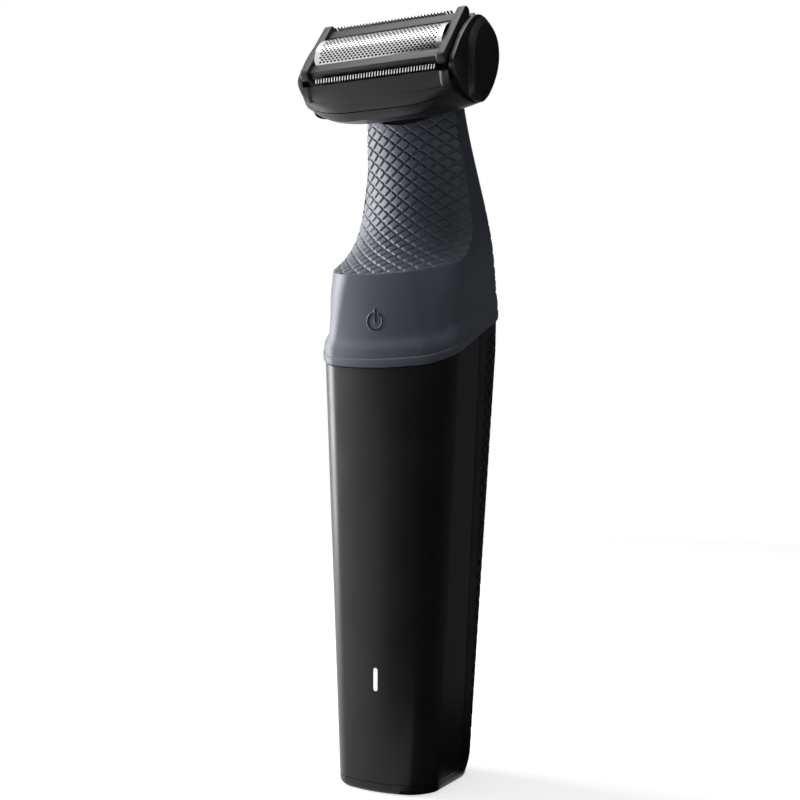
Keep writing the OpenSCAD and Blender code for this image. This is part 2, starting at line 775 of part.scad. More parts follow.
module head_housing() {
    stations = [-1, -0.84, -0.63, -0.42, 0, 0.42, 0.63, 0.84, 1];
    color(head_black) in_head() difference() {
        strip_loft([for (s = stations) let (x = s * housing_half)
            concat(hull_line(x, hull_wall_share), reversed(hull_line(x, 1)))]);
        translate([0, pin_off, boss_top - bore_reach])
            cylinder(r = boss_r + boss_room, h = 1.5 * bore_reach);
    }
}

// End caps: rounded cheeks that grow flat towards the outside, with a ledge for the spring
cap_gap = 0.06;
cheek_middle = [2.3, -8.1];
cheek_outline = [[14.3, -8.7], [13.9, -12.6], [10.6, -16], [6, -17.9], [1.2, -18], [-4.2, -16.2],
                 [-8, -12.3], [-9.5, -7.8], [-9.3, -3.6], [-7.4, -0.5], [-4.2, 1.2], [0, 1.8],
                 [4.6, 1.1], [9, -0.9], [12.5, -4.5]];
cheek_segs = 3;
// Distance back from the outer face, and inset, of the rings that round a cheek's outer edge
cheek_rounding = [[0.5, 0.5], [0.12, 1.3], [0, 2.4]];
cheek_chamfer = 0.3;
cheek_straight = 0.55;
spring_x = head_half - end_cap_t - joint_gap - post_t / 2 - slide_gap;
ledge_top = -10.6;
ledge_t = 1.6;
ledge_half = 2.2;
function closed_spline(p, n) = let (m = len(p))
    [for (i = [0:m - 1]) for (k = [0:n - 1])
        catmull(p[(i + m - 1) % m], p[i], p[(i + 1) % m], p[(i + 2) % m], k / n)];
function cheek_ring(x, inset) = [for (p = closed_spline(cheek_outline, cheek_segs))
    let (q = p - inset * (p - cheek_middle) / norm(p - cheek_middle))
    [x, q[0], q[1]]];

module end_cap() {
    inner_x = housing_half + cap_gap;
    color(head_black) in_head() {
        solid_loft(concat(
            [cheek_ring(inner_x, cheek_chamfer), cheek_ring(inner_x + cheek_chamfer, 0),
             cheek_ring(inner_x + cheek_straight * end_cap_t, 0)],
            [for (r = cheek_rounding) cheek_ring(head_half - r[0], r[1])]));
        translate([spring_x - ledge_half, -ledge_half, ledge_top - ledge_t])
            cube([inner_x + over - spring_x + ledge_half, 2 * ledge_half, ledge_t]);
    }
}

module end_cap_right() {
    end_cap();
}

module end_cap_left() {
    mirror([1, 0, 0]) end_cap();
}

// Floating cassette: end posts, bars and rails
post_out = housing_half + cap_gap - slide_gap;
post_in = post_out - post_t;
post_top = 1.2;
post_bottom = -6.6;
post_front = 9.2;
post_rear = 10.1;
horn_r = 1.5;
bar_top = 0.4;
bar_bottom = -1.6;
rail_top = -5.3;
rail_t = 1.1;
rail_in = 5.6;
rail_out = 7.6;

module post_outline() {
    square_front = -post_front + horn_r;
    square_rear = post_rear - horn_r;
    translate([square_front, post_bottom]) square([square_rear - square_front, post_top - post_bottom]);
    for (y = [square_front, square_rear]) translate([y, post_top - horn_r]) circle(horn_r);
}

module along_x(x0, length) {
    translate([x0, 0, 0]) rotate([90, 0, 90]) linear_extrude(length) children();
}

module cassette_frame() {
    color(head_black) in_head() {
        for (x0 = [-post_out, post_in]) along_x(x0, post_t) post_outline();
        for (side = [-1, 1]) {
            translate([-post_in, side * bar_y - bar_w / 2, bar_bottom])
                cube([2 * post_in, bar_w, bar_top - bar_bottom]);
            translate([-post_in, side > 0 ? rail_in : -rail_out, rail_top - rail_t])
                cube([2 * post_in, rail_out - rail_in, rail_t]);
        }
    }
}

// Arched foil between the bars, and the lamellae that run under it
foil_half = bar_y - bar_w / 2;
foil_r = (foil_half * foil_half + foil_rise * foil_rise) / (2 * foil_rise);
foil_middle = foil_rise - foil_r;

module arch(r_out, r_in, half, floor_z) {
    difference() {
        intersection() {
            translate([0, foil_middle]) circle(r_out);
            translate([-half, floor_z]) square([2 * half, 2 * r_out]);
        }
        translate([0, foil_middle]) circle(r_in);
    }
}

module shaving_foil() {
    color(steel) in_head() along_x(-post_in, 2 * post_in)
        arch(foil_r, foil_r - foil_t, foil_half, bar_bottom);
}

block_top = -3;
block_half_x = 13.6;
block_half_y = 4.5;
lamella_t = 0.25;
lamella_gap = 0.15;
lamella_depth = 1.4;
module cutter_blades() {
    count = floor((2 * block_half_x - lamella_t) / lamella_pitch);
    r_out = foil_r - foil_t - lamella_gap;
    color(steel) in_head() for (i = [0:count - 1])
        along_x((i - (count - 1) / 2) * lamella_pitch - lamella_t / 2, lamella_t)
            arch(r_out, r_out - lamella_depth, block_half_y - slide_gap, block_top);
}

flange_top = -4.2;
flange_half_y = rail_out - 0.6;
block_bottom = -8.6;
module cutter_block() {
    slot_w = drive_pin_d + 2 * slot_side_gap;
    slot_half_y = drive_pin_d / 2 + slide_gap;
    flange_bottom = rail_top + slide_gap / 3;
    color("ivory") in_head() difference() {
        union() {
            translate([-block_half_x, -block_half_y, block_bottom])
                cube([2 * block_half_x, 2 * block_half_y, block_top - block_bottom]);
            translate([-block_half_x, -flange_half_y, flange_bottom])
                cube([2 * block_half_x, 2 * flange_half_y, flange_top - flange_bottom]);
        }
        translate([-slot_w / 2, pin_off - slot_half_y, block_bottom - over])
            cube([slot_w, 2 * slot_half_y, slot_roof - block_bottom + over]);
    }
}

// Trimmers: slanted teeth on a strip, seen along Y of the head
guard_y = 9.15;
guard_t = 0.35;
blade_gap = 0.1;
blade_t = 0.35;
tooth_root = -2.9;
front_tooth_tip = -0.9;
rear_tooth_tip = 0.7;
strip_bottom = -4.6;
tooth_slant = 0.7;
comb_leg_x = 8;
comb_leg_w = 3;
comb_leg_t = 0.8;

// Outline of a toothed strip that is 2 * half long
module comb(half, tooth_tip) {
    count = floor((2 * half - tooth_slant - tooth_pitch) / tooth_pitch);
    start = -count * tooth_pitch / 2;
    base_share = 0.3;
    tip_share = 0.18;
    polygon(concat(
        [[half, tooth_root], [half, strip_bottom], [-half, strip_bottom], [-half, tooth_root]],
        [for (i = [0:count - 1]) let (x = start + (i + 0.5) * tooth_pitch) each [
            [x - base_share * tooth_pitch, tooth_root],
            [x - tip_share * tooth_pitch + tooth_slant, tooth_tip],
            [x + tip_share * tooth_pitch + tooth_slant, tooth_tip],
            [x + base_share * tooth_pitch, tooth_root]]]));
}

// Turns an outline upright, facing along Y, with its front face at y
module facing(y, t) {
    translate([0, y + t, 0]) rotate([90, 0, 0]) linear_extrude(t) children();
}

module trimmer_guard(tip) {
    color(steel) in_head() facing(-guard_y, guard_t) comb(post_in, tip);
}

module trimmer_blade(tip) {
    y = -guard_y + guard_t + blade_gap;
    color(steel) in_head() {
        facing(y, blade_t) comb(post_in - throw - slide_gap, tip);
        for (side = [-1, 1]) translate([side * comb_leg_x - comb_leg_w / 2, y, flange_top])
            cube([comb_leg_w, -block_half_y - y, comb_leg_t]);
    }
}

// Half turn about the head's own z axis, which puts a front trimmer behind the foil
module behind_foil() {
    translate([0, -head_y, head_z]) rotate([head_tilt, 0, 0]) rotate([0, 0, 180])
        rotate([-head_tilt, 0, 0]) translate([0, head_y, -head_z]) children();
}

module front_trimmer_guard() {
    trimmer_guard(front_tooth_tip);
}

module rear_trimmer_guard() {
    behind_foil() trimmer_guard(rear_tooth_tip);
}

module front_trimmer_blade() {
    trimmer_blade(front_tooth_tip);
}

module rear_trimmer_blade() {
    behind_foil() trimmer_blade(rear_tooth_tip);
}

// Coil springs under the end posts
coil_r = 1.05;
wire_r = 0.2;
curls = 4;
rings_per_curl = 8;
wire_sides = 6;
spring_top = post_bottom - joint_gap - wire_r;
spring_bottom = ledge_top + joint_gap + wire_r;
coil_rise = (spring_top - spring_bottom) / curls;
function coil_centre(i) = let (a = 360 * i / rings_per_curl)
    [coil_r * cos(a), coil_r * sin(a), spring_bottom + coil_rise * i / rings_per_curl];
function coil_ring(i) = let (a = 360 * i / rings_per_curl) [for (k = [0:wire_sides - 1])
    let (b = 360 * k / wire_sides)
    coil_centre(i) + wire_r * [cos(a) * cos(b), sin(a) * cos(b), sin(b)]];
coil_gap = norm(coil_centre(rings_per_curl) - coil_centre(0)) - 2 * wire_r;
echo(least_gap_of_spring_to_itself = coil_gap);

module cassette_springs() {
    color(steel) in_head() for (side = [-1, 1]) translate([side * spring_x, 0, 0])
        solid_loft([for (i = [0:curls * rings_per_curl]) coil_ring(i)]);
}

front_shell();
rear_grip();
base_cap();
neck_grip();
power_button();
light_pipe();
chassis();
battery_cell();
battery_tabs();
circuit_board();
board_screws();
tact_switch();
status_led();
charging_socket();
charging_pins();
motor();
motor_screws();
motor_shaft();
eccentric();
arm_guide();
drive_arm();
neck_plug();
neck_seal();
head_housing();
end_cap_left();
end_cap_right();
cassette_frame();
shaving_foil();
front_trimmer_guard();
rear_trimmer_guard();
front_trimmer_blade();
rear_trimmer_blade();
cutter_block();
cutter_blades();
cassette_springs();
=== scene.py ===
"""Looks of a body groomer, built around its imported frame.

Sizes are named in millimetres and turned into metres when a mesh is made.
Z runs up the handle, the front looks along -Y and the origin is on the foot.
"""

import json
import math

import bmesh
import bpy
import numpy as np
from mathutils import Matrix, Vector


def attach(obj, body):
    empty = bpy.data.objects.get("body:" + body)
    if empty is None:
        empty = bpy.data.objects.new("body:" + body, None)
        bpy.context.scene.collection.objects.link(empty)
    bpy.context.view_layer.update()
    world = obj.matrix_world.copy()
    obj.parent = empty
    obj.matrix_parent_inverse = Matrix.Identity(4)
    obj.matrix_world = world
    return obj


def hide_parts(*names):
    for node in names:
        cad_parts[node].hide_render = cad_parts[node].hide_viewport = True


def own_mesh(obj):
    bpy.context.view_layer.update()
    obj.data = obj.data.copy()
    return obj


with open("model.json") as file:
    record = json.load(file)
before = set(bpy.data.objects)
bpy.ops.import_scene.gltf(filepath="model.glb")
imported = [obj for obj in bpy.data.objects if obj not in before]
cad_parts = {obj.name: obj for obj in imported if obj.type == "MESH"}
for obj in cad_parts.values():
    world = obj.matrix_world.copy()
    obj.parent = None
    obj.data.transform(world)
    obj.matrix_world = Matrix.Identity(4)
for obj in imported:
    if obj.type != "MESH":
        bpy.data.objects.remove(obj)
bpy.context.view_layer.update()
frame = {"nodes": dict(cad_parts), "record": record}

MM = 0.001
MERGE = 1e-7
TINY = 1e-9
SHARP_DEG = 40

# Handle outline
COLLAR_Z = 102
BASE_W = 25.3
COLLAR_W = 35.1
FRONT_Y = 13.6
FRONT_CROWN = 2.7
FRONT_TIP = -FRONT_Y - FRONT_CROWN
BASE_REAR = 12.3
NAPE_REAR = 18.5
NAPE_Z = 128
NAPE_POWER = 1.7
FOOT_CORNER_R = 4.5
COLLAR_CORNER_R = 6
SCOOP_CORNER_R = 10
REAR_CORNER_R = 7
FRONT_FOOT_R = 1.3
SIDE_FOOT_R = 1.3
REAR_FOOT_R = 6
SEAM_Y = 2.5
SEAM_FLAT = 1
LEAST_FLAT = 0.3
BASE_CAP_H = 2.4
GAP = 0.03

# Neck and scoop
LIP_FRONT_Z = 97.3
LIP_RISE = 14.3
LIP_POWER = 0.95
NECK_Z = 155.4
NECK_W = 24.1
NECK_REAR = 13
TAPER_Z = 112
WAIST_Z = 160
NECK_TILT = 44
SCOOP_Z = 118.7
SCOOP_DEPTH = 14.7
SCOOP_LEN = 8.4
SCOOP_POWER = 1.3
SCOOP_CROSS = 0.03
CROSS_LEN = 2.2
FLARE_Z = 144
SCOOP_FLARE = 1.6
BUTTON_Z = 108
BUTTON_R = 3.6
BUTTON_STEM = ((3.6, -12.9), (4.6, -12.9), (4.6, -12.3), (0.9, -12.3), (0.9, -11.75))
LIGHT_Z = 26
LIGHT_W = 1.1
LIGHT_LEN = 5.3

# Lozenge pads of the grip
PAD_W = 3.95
PAD_H = 3.0
GROOVE_HALF = 0.15
GROOVE_WALL = 0.17
PAD_DEPTH = 0.35

# Head
HEAD_TILT = 50
HEAD_Y = 12.65
HEAD_Z = 172.2
HEAD_HALF = 21.9
END_CAP_T = 2.8
HOUSING_HALF = HEAD_HALF - END_CAP_T
CAP_GAP = 0.06
PIN_OFF = 1
BOSS_BORE_R = 5.7
BORE_SPAN = (-30, -6)
POST_T = 2.15
POST_BOTTOM = -6.6
SPRING_X = 17.63
LEDGE_TOP = -10.6
LEDGE_T = 1.6
LEDGE_HALF = 2.2
LEDGE_ROOT = 0.6
POST_PLAY = 0.3
POST_OUT = HOUSING_HALF + CAP_GAP - POST_PLAY
POST_IN = POST_OUT - POST_T
BAR_Y = 6.55
BAR_W = 3
FOIL_HALF = BAR_Y - BAR_W / 2
FOIL_RISE = 2
FOIL_R = (FOIL_HALF ** 2 + FOIL_RISE ** 2) / (2 * FOIL_RISE)
FOIL_MIDDLE = FOIL_RISE - FOIL_R

# Camera, in the photograph's 800 pixel frame
CAMERA_AZIMUTH = 28
CAMERA_DISTANCE = 316.5
CAMERA_HEIGHT = 90
FOCAL_PIXELS = 1320
IMAGE_PIXELS = 800
AXIS_PIXEL = 408.5
SENSOR = 36
CLIP_START = 0.01


# Small helpers
def lerp(a, b, t):
    return a + (b - a) * t


def clamp01(t):
    return np.clip(t, 0.0, 1.0)


def eased(t):
    t = clamp01(t)
    return t * t * (3 - 2 * t)


def fade_in(value, start, width):
    """0 up to a start, 1 a width further on, and eased between."""
    return eased((value - start) / width)


def smooth_max(a, b, width):
    """The larger of two depths, with a rounded change between them."""
    return 0.5 * (a + b + np.sqrt((a - b) ** 2 + width ** 2))


# Handle outline at a height
def half_w(z):
    low = lerp(BASE_W, COLLAR_W, np.minimum(z, COLLAR_Z) / COLLAR_Z)
    high = lerp(COLLAR_W, NECK_W, eased((z - TAPER_Z) / (WAIST_Z - TAPER_Z)))
    return 0.5 * np.where(z < COLLAR_Z, low, high)


def rear_at(z):
    low = lerp(BASE_REAR, NAPE_REAR, z / NAPE_Z)
    climb = np.maximum(0, z - NAPE_Z) / (NECK_Z - NAPE_Z)
    high = NAPE_REAR - (NAPE_REAR - NECK_REAR) * climb ** NAPE_POWER
    return np.where(z < NAPE_Z, low, high)


def corner_at(z):
    low = lerp(FOOT_CORNER_R, COLLAR_CORNER_R, z / COLLAR_Z)
    high = lerp(COLLAR_CORNER_R, SCOOP_CORNER_R, clamp01((z - COLLAR_Z) / (SCOOP_Z - COLLAR_Z)))
    return np.where(z < COLLAR_Z, low, high)


def foot_inset(z, r):
    drop = np.maximum(0, r - z)
    return r - np.sqrt(np.maximum(0, r * r - drop * drop))


def scoop_at(x, z):
    rise = np.maximum(0, z - SCOOP_Z)
    cross = SCOOP_CROSS * x * x * (1 - np.exp(-rise / CROSS_LEN))
    bowl = SCOOP_DEPTH * (1 - np.exp(-(rise / SCOOP_LEN) ** SCOOP_POWER))
    flare = SCOOP_FLARE * eased((z - FLARE_Z) / (NECK_Z - FLARE_Z))
    return FRONT_TIP + cross + bowl - flare


# Columns of an outline, each with its place along the flats, its turn round a corner and its way to the seam
FRONT = 1
REAR = -1


def corner_columns(sign, start, steps):
    turns = [math.radians(lerp(start, start - 90, k / steps)) for k in range(1, steps)]
    return [(sign, math.cos(a), math.sin(a), 0) for a in turns]


def half_columns(half, side, corner, flat):
    """Columns from seam to seam, round the front from right to left or round the rear from left to right."""
    start = 90 - 90 * half
    columns = [(half, half, 0, share) for share in np.linspace(1, 0, side + 1)]
    columns += corner_columns(half, start, corner)
    columns += [(half * (1 - 2 * k / flat), 0, -half, 0) for k in range(flat + 1)]
    columns += corner_columns(-half, start - 90, corner)
    columns += [(-half, -half, 0, share) for share in np.linspace(0, 1, side + 1)]
    return np.array(columns, dtype=float)


def front_xy(columns, z, inset):
    along, cos, sin, seam = columns.T[:, None]
    hw = half_w(z) - foot_inset(z, SIDE_FOOT_R) - inset
    fy = -FRONT_Y + foot_inset(z, FRONT_FOOT_R) + inset
    r = np.minimum(corner_at(z), half_w(z) - LEAST_FLAT) - inset
    x = (hw - r) * along + r * cos
    y = fy + r + r * sin + (SEAM_Y - fy - r) * seam
    ahead = np.maximum(0, fy + r - y) / r
    y = y - FRONT_CROWN * (1 - (x / hw) ** 2) * ahead
    return x, y


def rear_xy(columns, z, inset):
    along, cos, sin, seam = columns.T[:, None]
    hw = half_w(z) - foot_inset(z, SIDE_FOOT_R) - inset
    ry = rear_at(z) - foot_inset(z, REAR_FOOT_R) - inset
    r = np.minimum(REAR_CORNER_R, ry + inset - SEAM_Y - SEAM_FLAT) - inset
    x = (hw - r) * along + r * cos
    y = ry - r + r * sin + (SEAM_Y - ry + r) * seam
    return x, y


def lip_z(y):
    share = clamp01((y - FRONT_TIP) / (NAPE_REAR - FRONT_TIP))
    return LIP_FRONT_Z + LIP_RISE * share ** LIP_POWER


SCOOP_FLOOR = float(scoop_at(np.float64(0), np.float64(NECK_Z)))


def neck_top_z(y):
    return NECK_Z + (y - SCOOP_FLOOR) * math.tan(math.radians(NECK_TILT))


# Meshes
def new_object(name, data):
    obj = bpy.data.objects.new(name, data)
    bpy.context.scene.collection.objects.link(obj)
    return obj


def mesh_object(name, points, faces, sharp_deg=SHARP_DEG):
    """A smooth shaded object from points in millimetres."""
    mesh = bpy.data.meshes.new(name)
    mesh.from_pydata((np.asarray(points, dtype=float) * MM).tolist(), [], faces)
    mesh.validate()
    bm = bmesh.new()
    bm.from_mesh(mesh)
    bmesh.ops.remove_doubles(bm, verts=bm.verts, dist=MERGE)
    bmesh.ops.recalc_face_normals(bm, faces=bm.faces)
    bm.to_mesh(mesh)
    bm.free()
    mesh.polygons.foreach_set("use_smooth", [True] * len(mesh.polygons))
    mesh.set_sharp_from_angle(angle=math.radians(sharp_deg))
    return new_object(name, mesh)


def loose_off(obj):
    """Deletes points that no face uses."""
    bm = bmesh.new()
    bm.from_mesh(obj.data)
    bmesh.ops.delete(bm, geom=[v for v in bm.verts if not v.link_faces], context="VERTS")
    bm.to_mesh(obj.data)
    bm.free()


def grid_faces(rows, cols, closed, start=0):
    """Quads of a grid whose rows may close on themselves."""
    faces = []
    last = cols if closed else cols - 1
    for i in range(rows - 1):
        for j in range(last):
            k = (j + 1) % cols
            a = start + i * cols
            b = a + cols
            faces.append((a + j, a + k, b + k, b + j))
    return faces


def tube_faces(rows, cols, start=0):
    """Quads of a grid with closed rows, and a cap on its first and last row."""
    first = tuple(range(start, start + cols))
    last = tuple(k + (rows - 1) * cols for k in first)
    return grid_faces(rows, cols, True, start) + [first[::-1], last]


BOX_FACES = ((0, 2, 3, 1), (4, 5, 7, 6), (0, 1, 5, 4), (2, 6, 7, 3), (0, 4, 6, 2), (1, 3, 7, 5))


def box_corners(low, high):
    return [(x, y, z) for z in (low[2], high[2]) for y in (low[1], high[1]) for x in (low[0], high[0])]


def grid_object(name, grid, sharp_deg=SHARP_DEG):
    """An object from an open grid of points."""
    return mesh_object(name, grid.reshape(-1, 3), grid_faces(*grid.shape[:2], False), sharp_deg)


def grid_normals(grid, closed):
    """Outward normals of a grid of points."""
    if closed:
        across = np.roll(grid, -1, axis=1) - np.roll(grid, 1, axis=1)
    else:
        across = np.gradient(grid, axis=1)
    up = np.gradient(grid, axis=0)
    normal = np.cross(across, up)
    length = np.linalg.norm(normal, axis=2, keepdims=True)
    normal = normal / np.maximum(length, TINY)
    outward = np.sum(normal[:, :, :2] * grid[:, :, :2])
    return normal if outward > 0 else -normal


def arc_length(grid):
    """Length along a grid's rows, from the first point."""
    steps = np.linalg.norm(np.diff(grid, axis=1), axis=2)
    return np.cumsum(np.pad(steps, ((0, 0), (1, 0))), axis=1)


def pads(u, v):
    """Height of lozenge pads, 0 in the grooves and 1 on the pads."""
    spacing = 1 / math.hypot(1 / PAD_W, 1 / PAD_H)
    height = np.ones_like(u)
    for line in (u / PAD_W + v / PAD_H, u / PAD_W - v / PAD_H):
        off = np.abs(line - np.round(line)) * spacing
        height = np.minimum(height, fade_in(off, GROOVE_HALF, GROOVE_WALL))
    return height


def cut(obj, cutter, sharp_deg):
    """Takes a cutter away from an object, deletes the cutter and marks sharp edges again."""
    boolean = obj.modifiers.new("cut", "BOOLEAN")
    boolean.object = cutter
    boolean.solver = "EXACT"
    depsgraph = bpy.context.evaluated_depsgraph_get()
    result = bpy.data.meshes.new_from_object(obj.evaluated_get(depsgraph))
    obj.modifiers.clear()
    old = obj.data
    obj.data = result
    bpy.data.meshes.remove(old)
    bpy.data.objects.remove(cutter)
    result.set_sharp_from_angle(angle=math.radians(sharp_deg))


def in_head(points):
    """Moves points from the head's own frame to the object's frame."""
    points = np.asarray(points, dtype=float)
    a = math.radians(HEAD_TILT)
    x = points[..., 0]
    y = points[..., 1] * math.cos(a) - points[..., 2] * math.sin(a) - HEAD_Y
    z = points[..., 1] * math.sin(a) + points[..., 2] * math.cos(a) + HEAD_Z
    return np.stack([x, y, z], axis=-1)


# Materials
NOISE_SPAN = (0.3, 0.7)
CLOUD_MM = 14
GRAIN_STRENGTH = 0.5
BRUSH_MM = 0.6
BRUSH_DEPTH = 0.004
BRUSH_STRENGTH = 0.4
BRUSH_STRETCH = (0.08, 1, 1)
GLOW_CLOUD_MM = 2
GLOW_STRENGTH = 0.7
GLOW_ROUGH = 0.3


def principled(name):
    material = bpy.data.materials.new(name)
    material.use_nodes = True
    tree = material.node_tree
    return material, tree, tree.nodes["Principled BSDF"]


def object_coordinates(tree, stretch=(1, 1, 1)):
    coordinates = tree.nodes.new("ShaderNodeTexCoord")
    mapping = tree.nodes.new("ShaderNodeMapping")
    mapping.inputs["Scale"].default_value = stretch
    tree.links.new(coordinates.outputs["Object"], mapping.inputs["Vector"])
    return mapping.outputs["Vector"]


def noise(tree, vector, scale, detail=3.0):
    node = tree.nodes.new("ShaderNodeTexNoise")
    node.inputs["Scale"].default_value = scale
    node.inputs["Detail"].default_value = detail
    tree.links.new(vector, node.inputs["Vector"])
    return node.outputs["Fac"]


def ramp(tree, fac, dark, light):
    node = tree.nodes.new("ShaderNodeValToRGB")
    for element, place, colour in zip(node.color_ramp.elements, NOISE_SPAN, (dark, light)):
        element.position = place
        element.color = (*colour, 1)
    tree.links.new(fac, node.inputs["Fac"])
    return node.outputs["Color"]


def map_range(tree, fac, low, high):
    node = tree.nodes.new("ShaderNodeMapRange")
    for socket, value in zip(("From Min", "From Max", "To Min", "To Max"), (*NOISE_SPAN, low, high)):
        node.inputs[socket].default_value = value
    tree.links.new(fac, node.inputs["Value"])
    return node.outputs["Result"]


def bump(tree, shader, height, depth_mm, strength):
    node = tree.nodes.new("ShaderNodeBump")
    node.inputs["Strength"].default_value = strength
    node.inputs["Distance"].default_value = depth_mm * MM
    tree.links.new(height, node.inputs["Height"])
    tree.links.new(node.outputs["Normal"], shader.inputs["Normal"])


def moulded(name, dark, light, rough, grain_mm, grain_depth, specular=0.5):
    """Moulded plastic or rubber: cloudy colour, uneven gloss and a fine moulded grain."""
    material, tree, shader = principled(name)
    vector = object_coordinates(tree)
    cloud = noise(tree, vector, 1 / (CLOUD_MM * MM))
    grain = noise(tree, vector, 1 / (grain_mm * MM), detail=2.0)
    tree.links.new(ramp(tree, cloud, dark, light), shader.inputs["Base Color"])
    tree.links.new(map_range(tree, cloud, *rough), shader.inputs["Roughness"])
    bump(tree, shader, grain, grain_depth, GRAIN_STRENGTH)
    shader.inputs["Specular IOR Level"].default_value = specular
    return material


def metal(name, dark, light, rough):
    """Brushed or rolled metal with fine lines along X."""
    material, tree, shader = principled(name)
    vector = object_coordinates(tree, BRUSH_STRETCH)
    lines = noise(tree, vector, 1 / (BRUSH_MM * MM))
    tree.links.new(ramp(tree, lines, dark, light), shader.inputs["Base Color"])
    tree.links.new(map_range(tree, lines, *rough), shader.inputs["Roughness"])
    bump(tree, shader, lines, BRUSH_DEPTH, BRUSH_STRENGTH)
    shader.inputs["Metallic"].default_value = 1.0
    return material


def glowing(name, dark, light):
    """White light pipe with a faintly cloudy glow."""
    material, tree, shader = principled(name)
    cloud = noise(tree, object_coordinates(tree), 1 / (GLOW_CLOUD_MM * MM))
    colour = ramp(tree, cloud, dark, light)
    tree.links.new(colour, shader.inputs["Base Color"])
    tree.links.new(colour, shader.inputs["Emission Color"])
    shader.inputs["Emission Strength"].default_value = GLOW_STRENGTH
    shader.inputs["Roughness"].default_value = GLOW_ROUGH
    return material


# Darker and lighter colour, roughness, width and depth of the grain, and the specular level
MOULDED = {
    "shell_black": ((0.0100, 0.0100, 0.0103), (0.0120, 0.0120, 0.0123), (0.34, 0.40), 0.25, 0.003, 0.25),
    "grip_black": ((0.0045, 0.0045, 0.0048), (0.0065, 0.0065, 0.0068), (0.45, 0.55), 0.3, 0.008, 0.25),
    "neck_blue_grey": ((0.064, 0.074, 0.096), (0.072, 0.083, 0.107), (0.46, 0.54), 0.22, 0.004, 0.35),
    "head_black": ((0.0100, 0.0100, 0.0102), (0.0125, 0.0125, 0.0127), (0.36, 0.44), 0.3, 0.004, 0.42),
    "inner_grey": ((0.26, 0.27, 0.29), (0.31, 0.32, 0.34), (0.5, 0.6), 0.4, 0.01),
    "inner_ivory": ((0.74, 0.71, 0.62), (0.80, 0.77, 0.68), (0.5, 0.6), 0.4, 0.01),
    "board_green": ((0.015, 0.075, 0.03), (0.025, 0.10, 0.045), (0.3, 0.4), 0.5, 0.01),
    "cell_blue": ((0.02, 0.05, 0.20), (0.03, 0.07, 0.26), (0.25, 0.35), 0.6, 0.004),
    "seal_rubber": ((0.02, 0.02, 0.02), (0.03, 0.03, 0.03), (0.6, 0.7), 0.3, 0.01),
}
LOOKS = {slot: moulded(slot, *look) for slot, look in MOULDED.items()}
LOOKS["steel"] = metal("steel", (0.60, 0.61, 0.63), (0.74, 0.75, 0.76), (0.18, 0.30))
LOOKS["light_white"] = glowing("light_white", (0.86, 0.88, 0.90), (0.97, 0.98, 1.0))
FOIL_STEEL = metal("foil_steel", (0.64, 0.65, 0.66), (0.70, 0.71, 0.72), (0.2, 0.24))
# Painted shade: near-black steel for the blades inside the head, so the foil holes and the trimmer slot read
# dark
BLADE_PAINTED_SHADE = metal("blade_painted_shade", (0.010, 0.010, 0.011), (0.018, 0.018, 0.019), (0.5, 0.6))


def dress(obj, body, slot, *nodes):
    """Gives a piece its looks, its body and the nodes that it stands for."""
    obj.data.materials.clear()
    obj.data.materials.append(LOOKS[slot])
    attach(obj, body)
    if nodes:
        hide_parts(*nodes)


# Front shell and rear grip
SHELL_LOW = BASE_CAP_H + GAP
EDGE_R = 0.07
FOOT_SHARE = 0.08
FOOT_ROWS = 24
SETTLE_STEPS = 4
SEAM_WALL = 1.6
END_WALL = 1.4
SLOT_POINTS = 32
SLOT_GAP = 0.1
SLOT_AHEAD = 1
SLOT_BEHIND = 4
LENS_SINK = 0.08
LENS_PROFILE = ((0, 3.0), (0, 0.12), (0.04, 0.04), (0.12, 0.0))
GRIP_SHARP = 60
GRIP_SEAM = (3, 1.5)
GRIP_FOOT = (7, 2)
GRIP_TOP = (1.5, 1.5)


def shell_rows(dense):
    """Shares of the height, close together at the foot."""
    foot = np.linspace(0, FOOT_SHARE, FOOT_ROWS)[:-1]
    return np.concatenate([foot, np.linspace(FOOT_SHARE, 1, dense)])


def shell_grid(xy, columns, rows):
    """Points of a shell between the base cap and the slanted lip."""
    z = np.repeat(lerp(SHELL_LOW, LIP_FRONT_Z, rows)[:, None], len(columns), axis=1)
    for _ in range(SETTLE_STEPS):
        z = lerp(SHELL_LOW, lip_z(xy(columns, z, 0.0)[1]) - GAP, rows[:, None])
    x, y = xy(columns, z, 0.0)
    return np.stack([x, y, z], axis=-1)


def turned_in(grid, depth):
    """Adds rounded edges that turn into the wall at the foot and top of an open grid."""
    centre = np.array([0.0, SEAM_Y, 0.0])
    for end in (0, -1):
        row = grid[end]
        inward = centre - row
        inward[:, 2] = 0
        inward /= np.linalg.norm(inward, axis=1, keepdims=True)
        extra = np.stack([row + inward * depth, row + inward * EDGE_R])
        grid[end, :, 2] += EDGE_R if end == 0 else -EDGE_R
        grid = np.concatenate([extra, grid] if end == 0 else [grid, extra[::-1]])
    return grid


def seam_edges(grid, side, depth):
    """Adds rounded edges along both side seams; side is the way to the piece's own face."""
    for end in (0, -1):
        column = grid[:, end]
        inward = np.zeros_like(column)
        inward[:, 0] = -np.sign(column[:, 0])
        extra = np.stack([column + inward * depth, column + inward * EDGE_R], axis=1)
        grid[:, end, 1] += side * EDGE_R
        grid = np.concatenate([extra, grid] if end == 0 else [grid, extra[:, ::-1]], axis=1)
    return grid


def slot_ring(r, y):
    """A ring with straight sides and round ends where the light is, at one depth."""
    straight = (LIGHT_LEN - LIGHT_W) / 2
    ring = []
    for k in range(SLOT_POINTS):
        a = 2 * math.pi * k / SLOT_POINTS
        up = math.copysign(straight, math.sin(a + TINY))
        ring.append((r * math.cos(a), y, LIGHT_Z + r * math.sin(a) + up))
    return ring


def slot_cutter():
    """A rounded upright slot through the front wall."""
    r = LIGHT_W / 2 + SLOT_GAP
    points = slot_ring(r, FRONT_TIP - SLOT_AHEAD) + slot_ring(r, -FRONT_Y + SLOT_BEHIND)
    return mesh_object("slot_cutter", points, tube_faces(2, SLOT_POINTS))


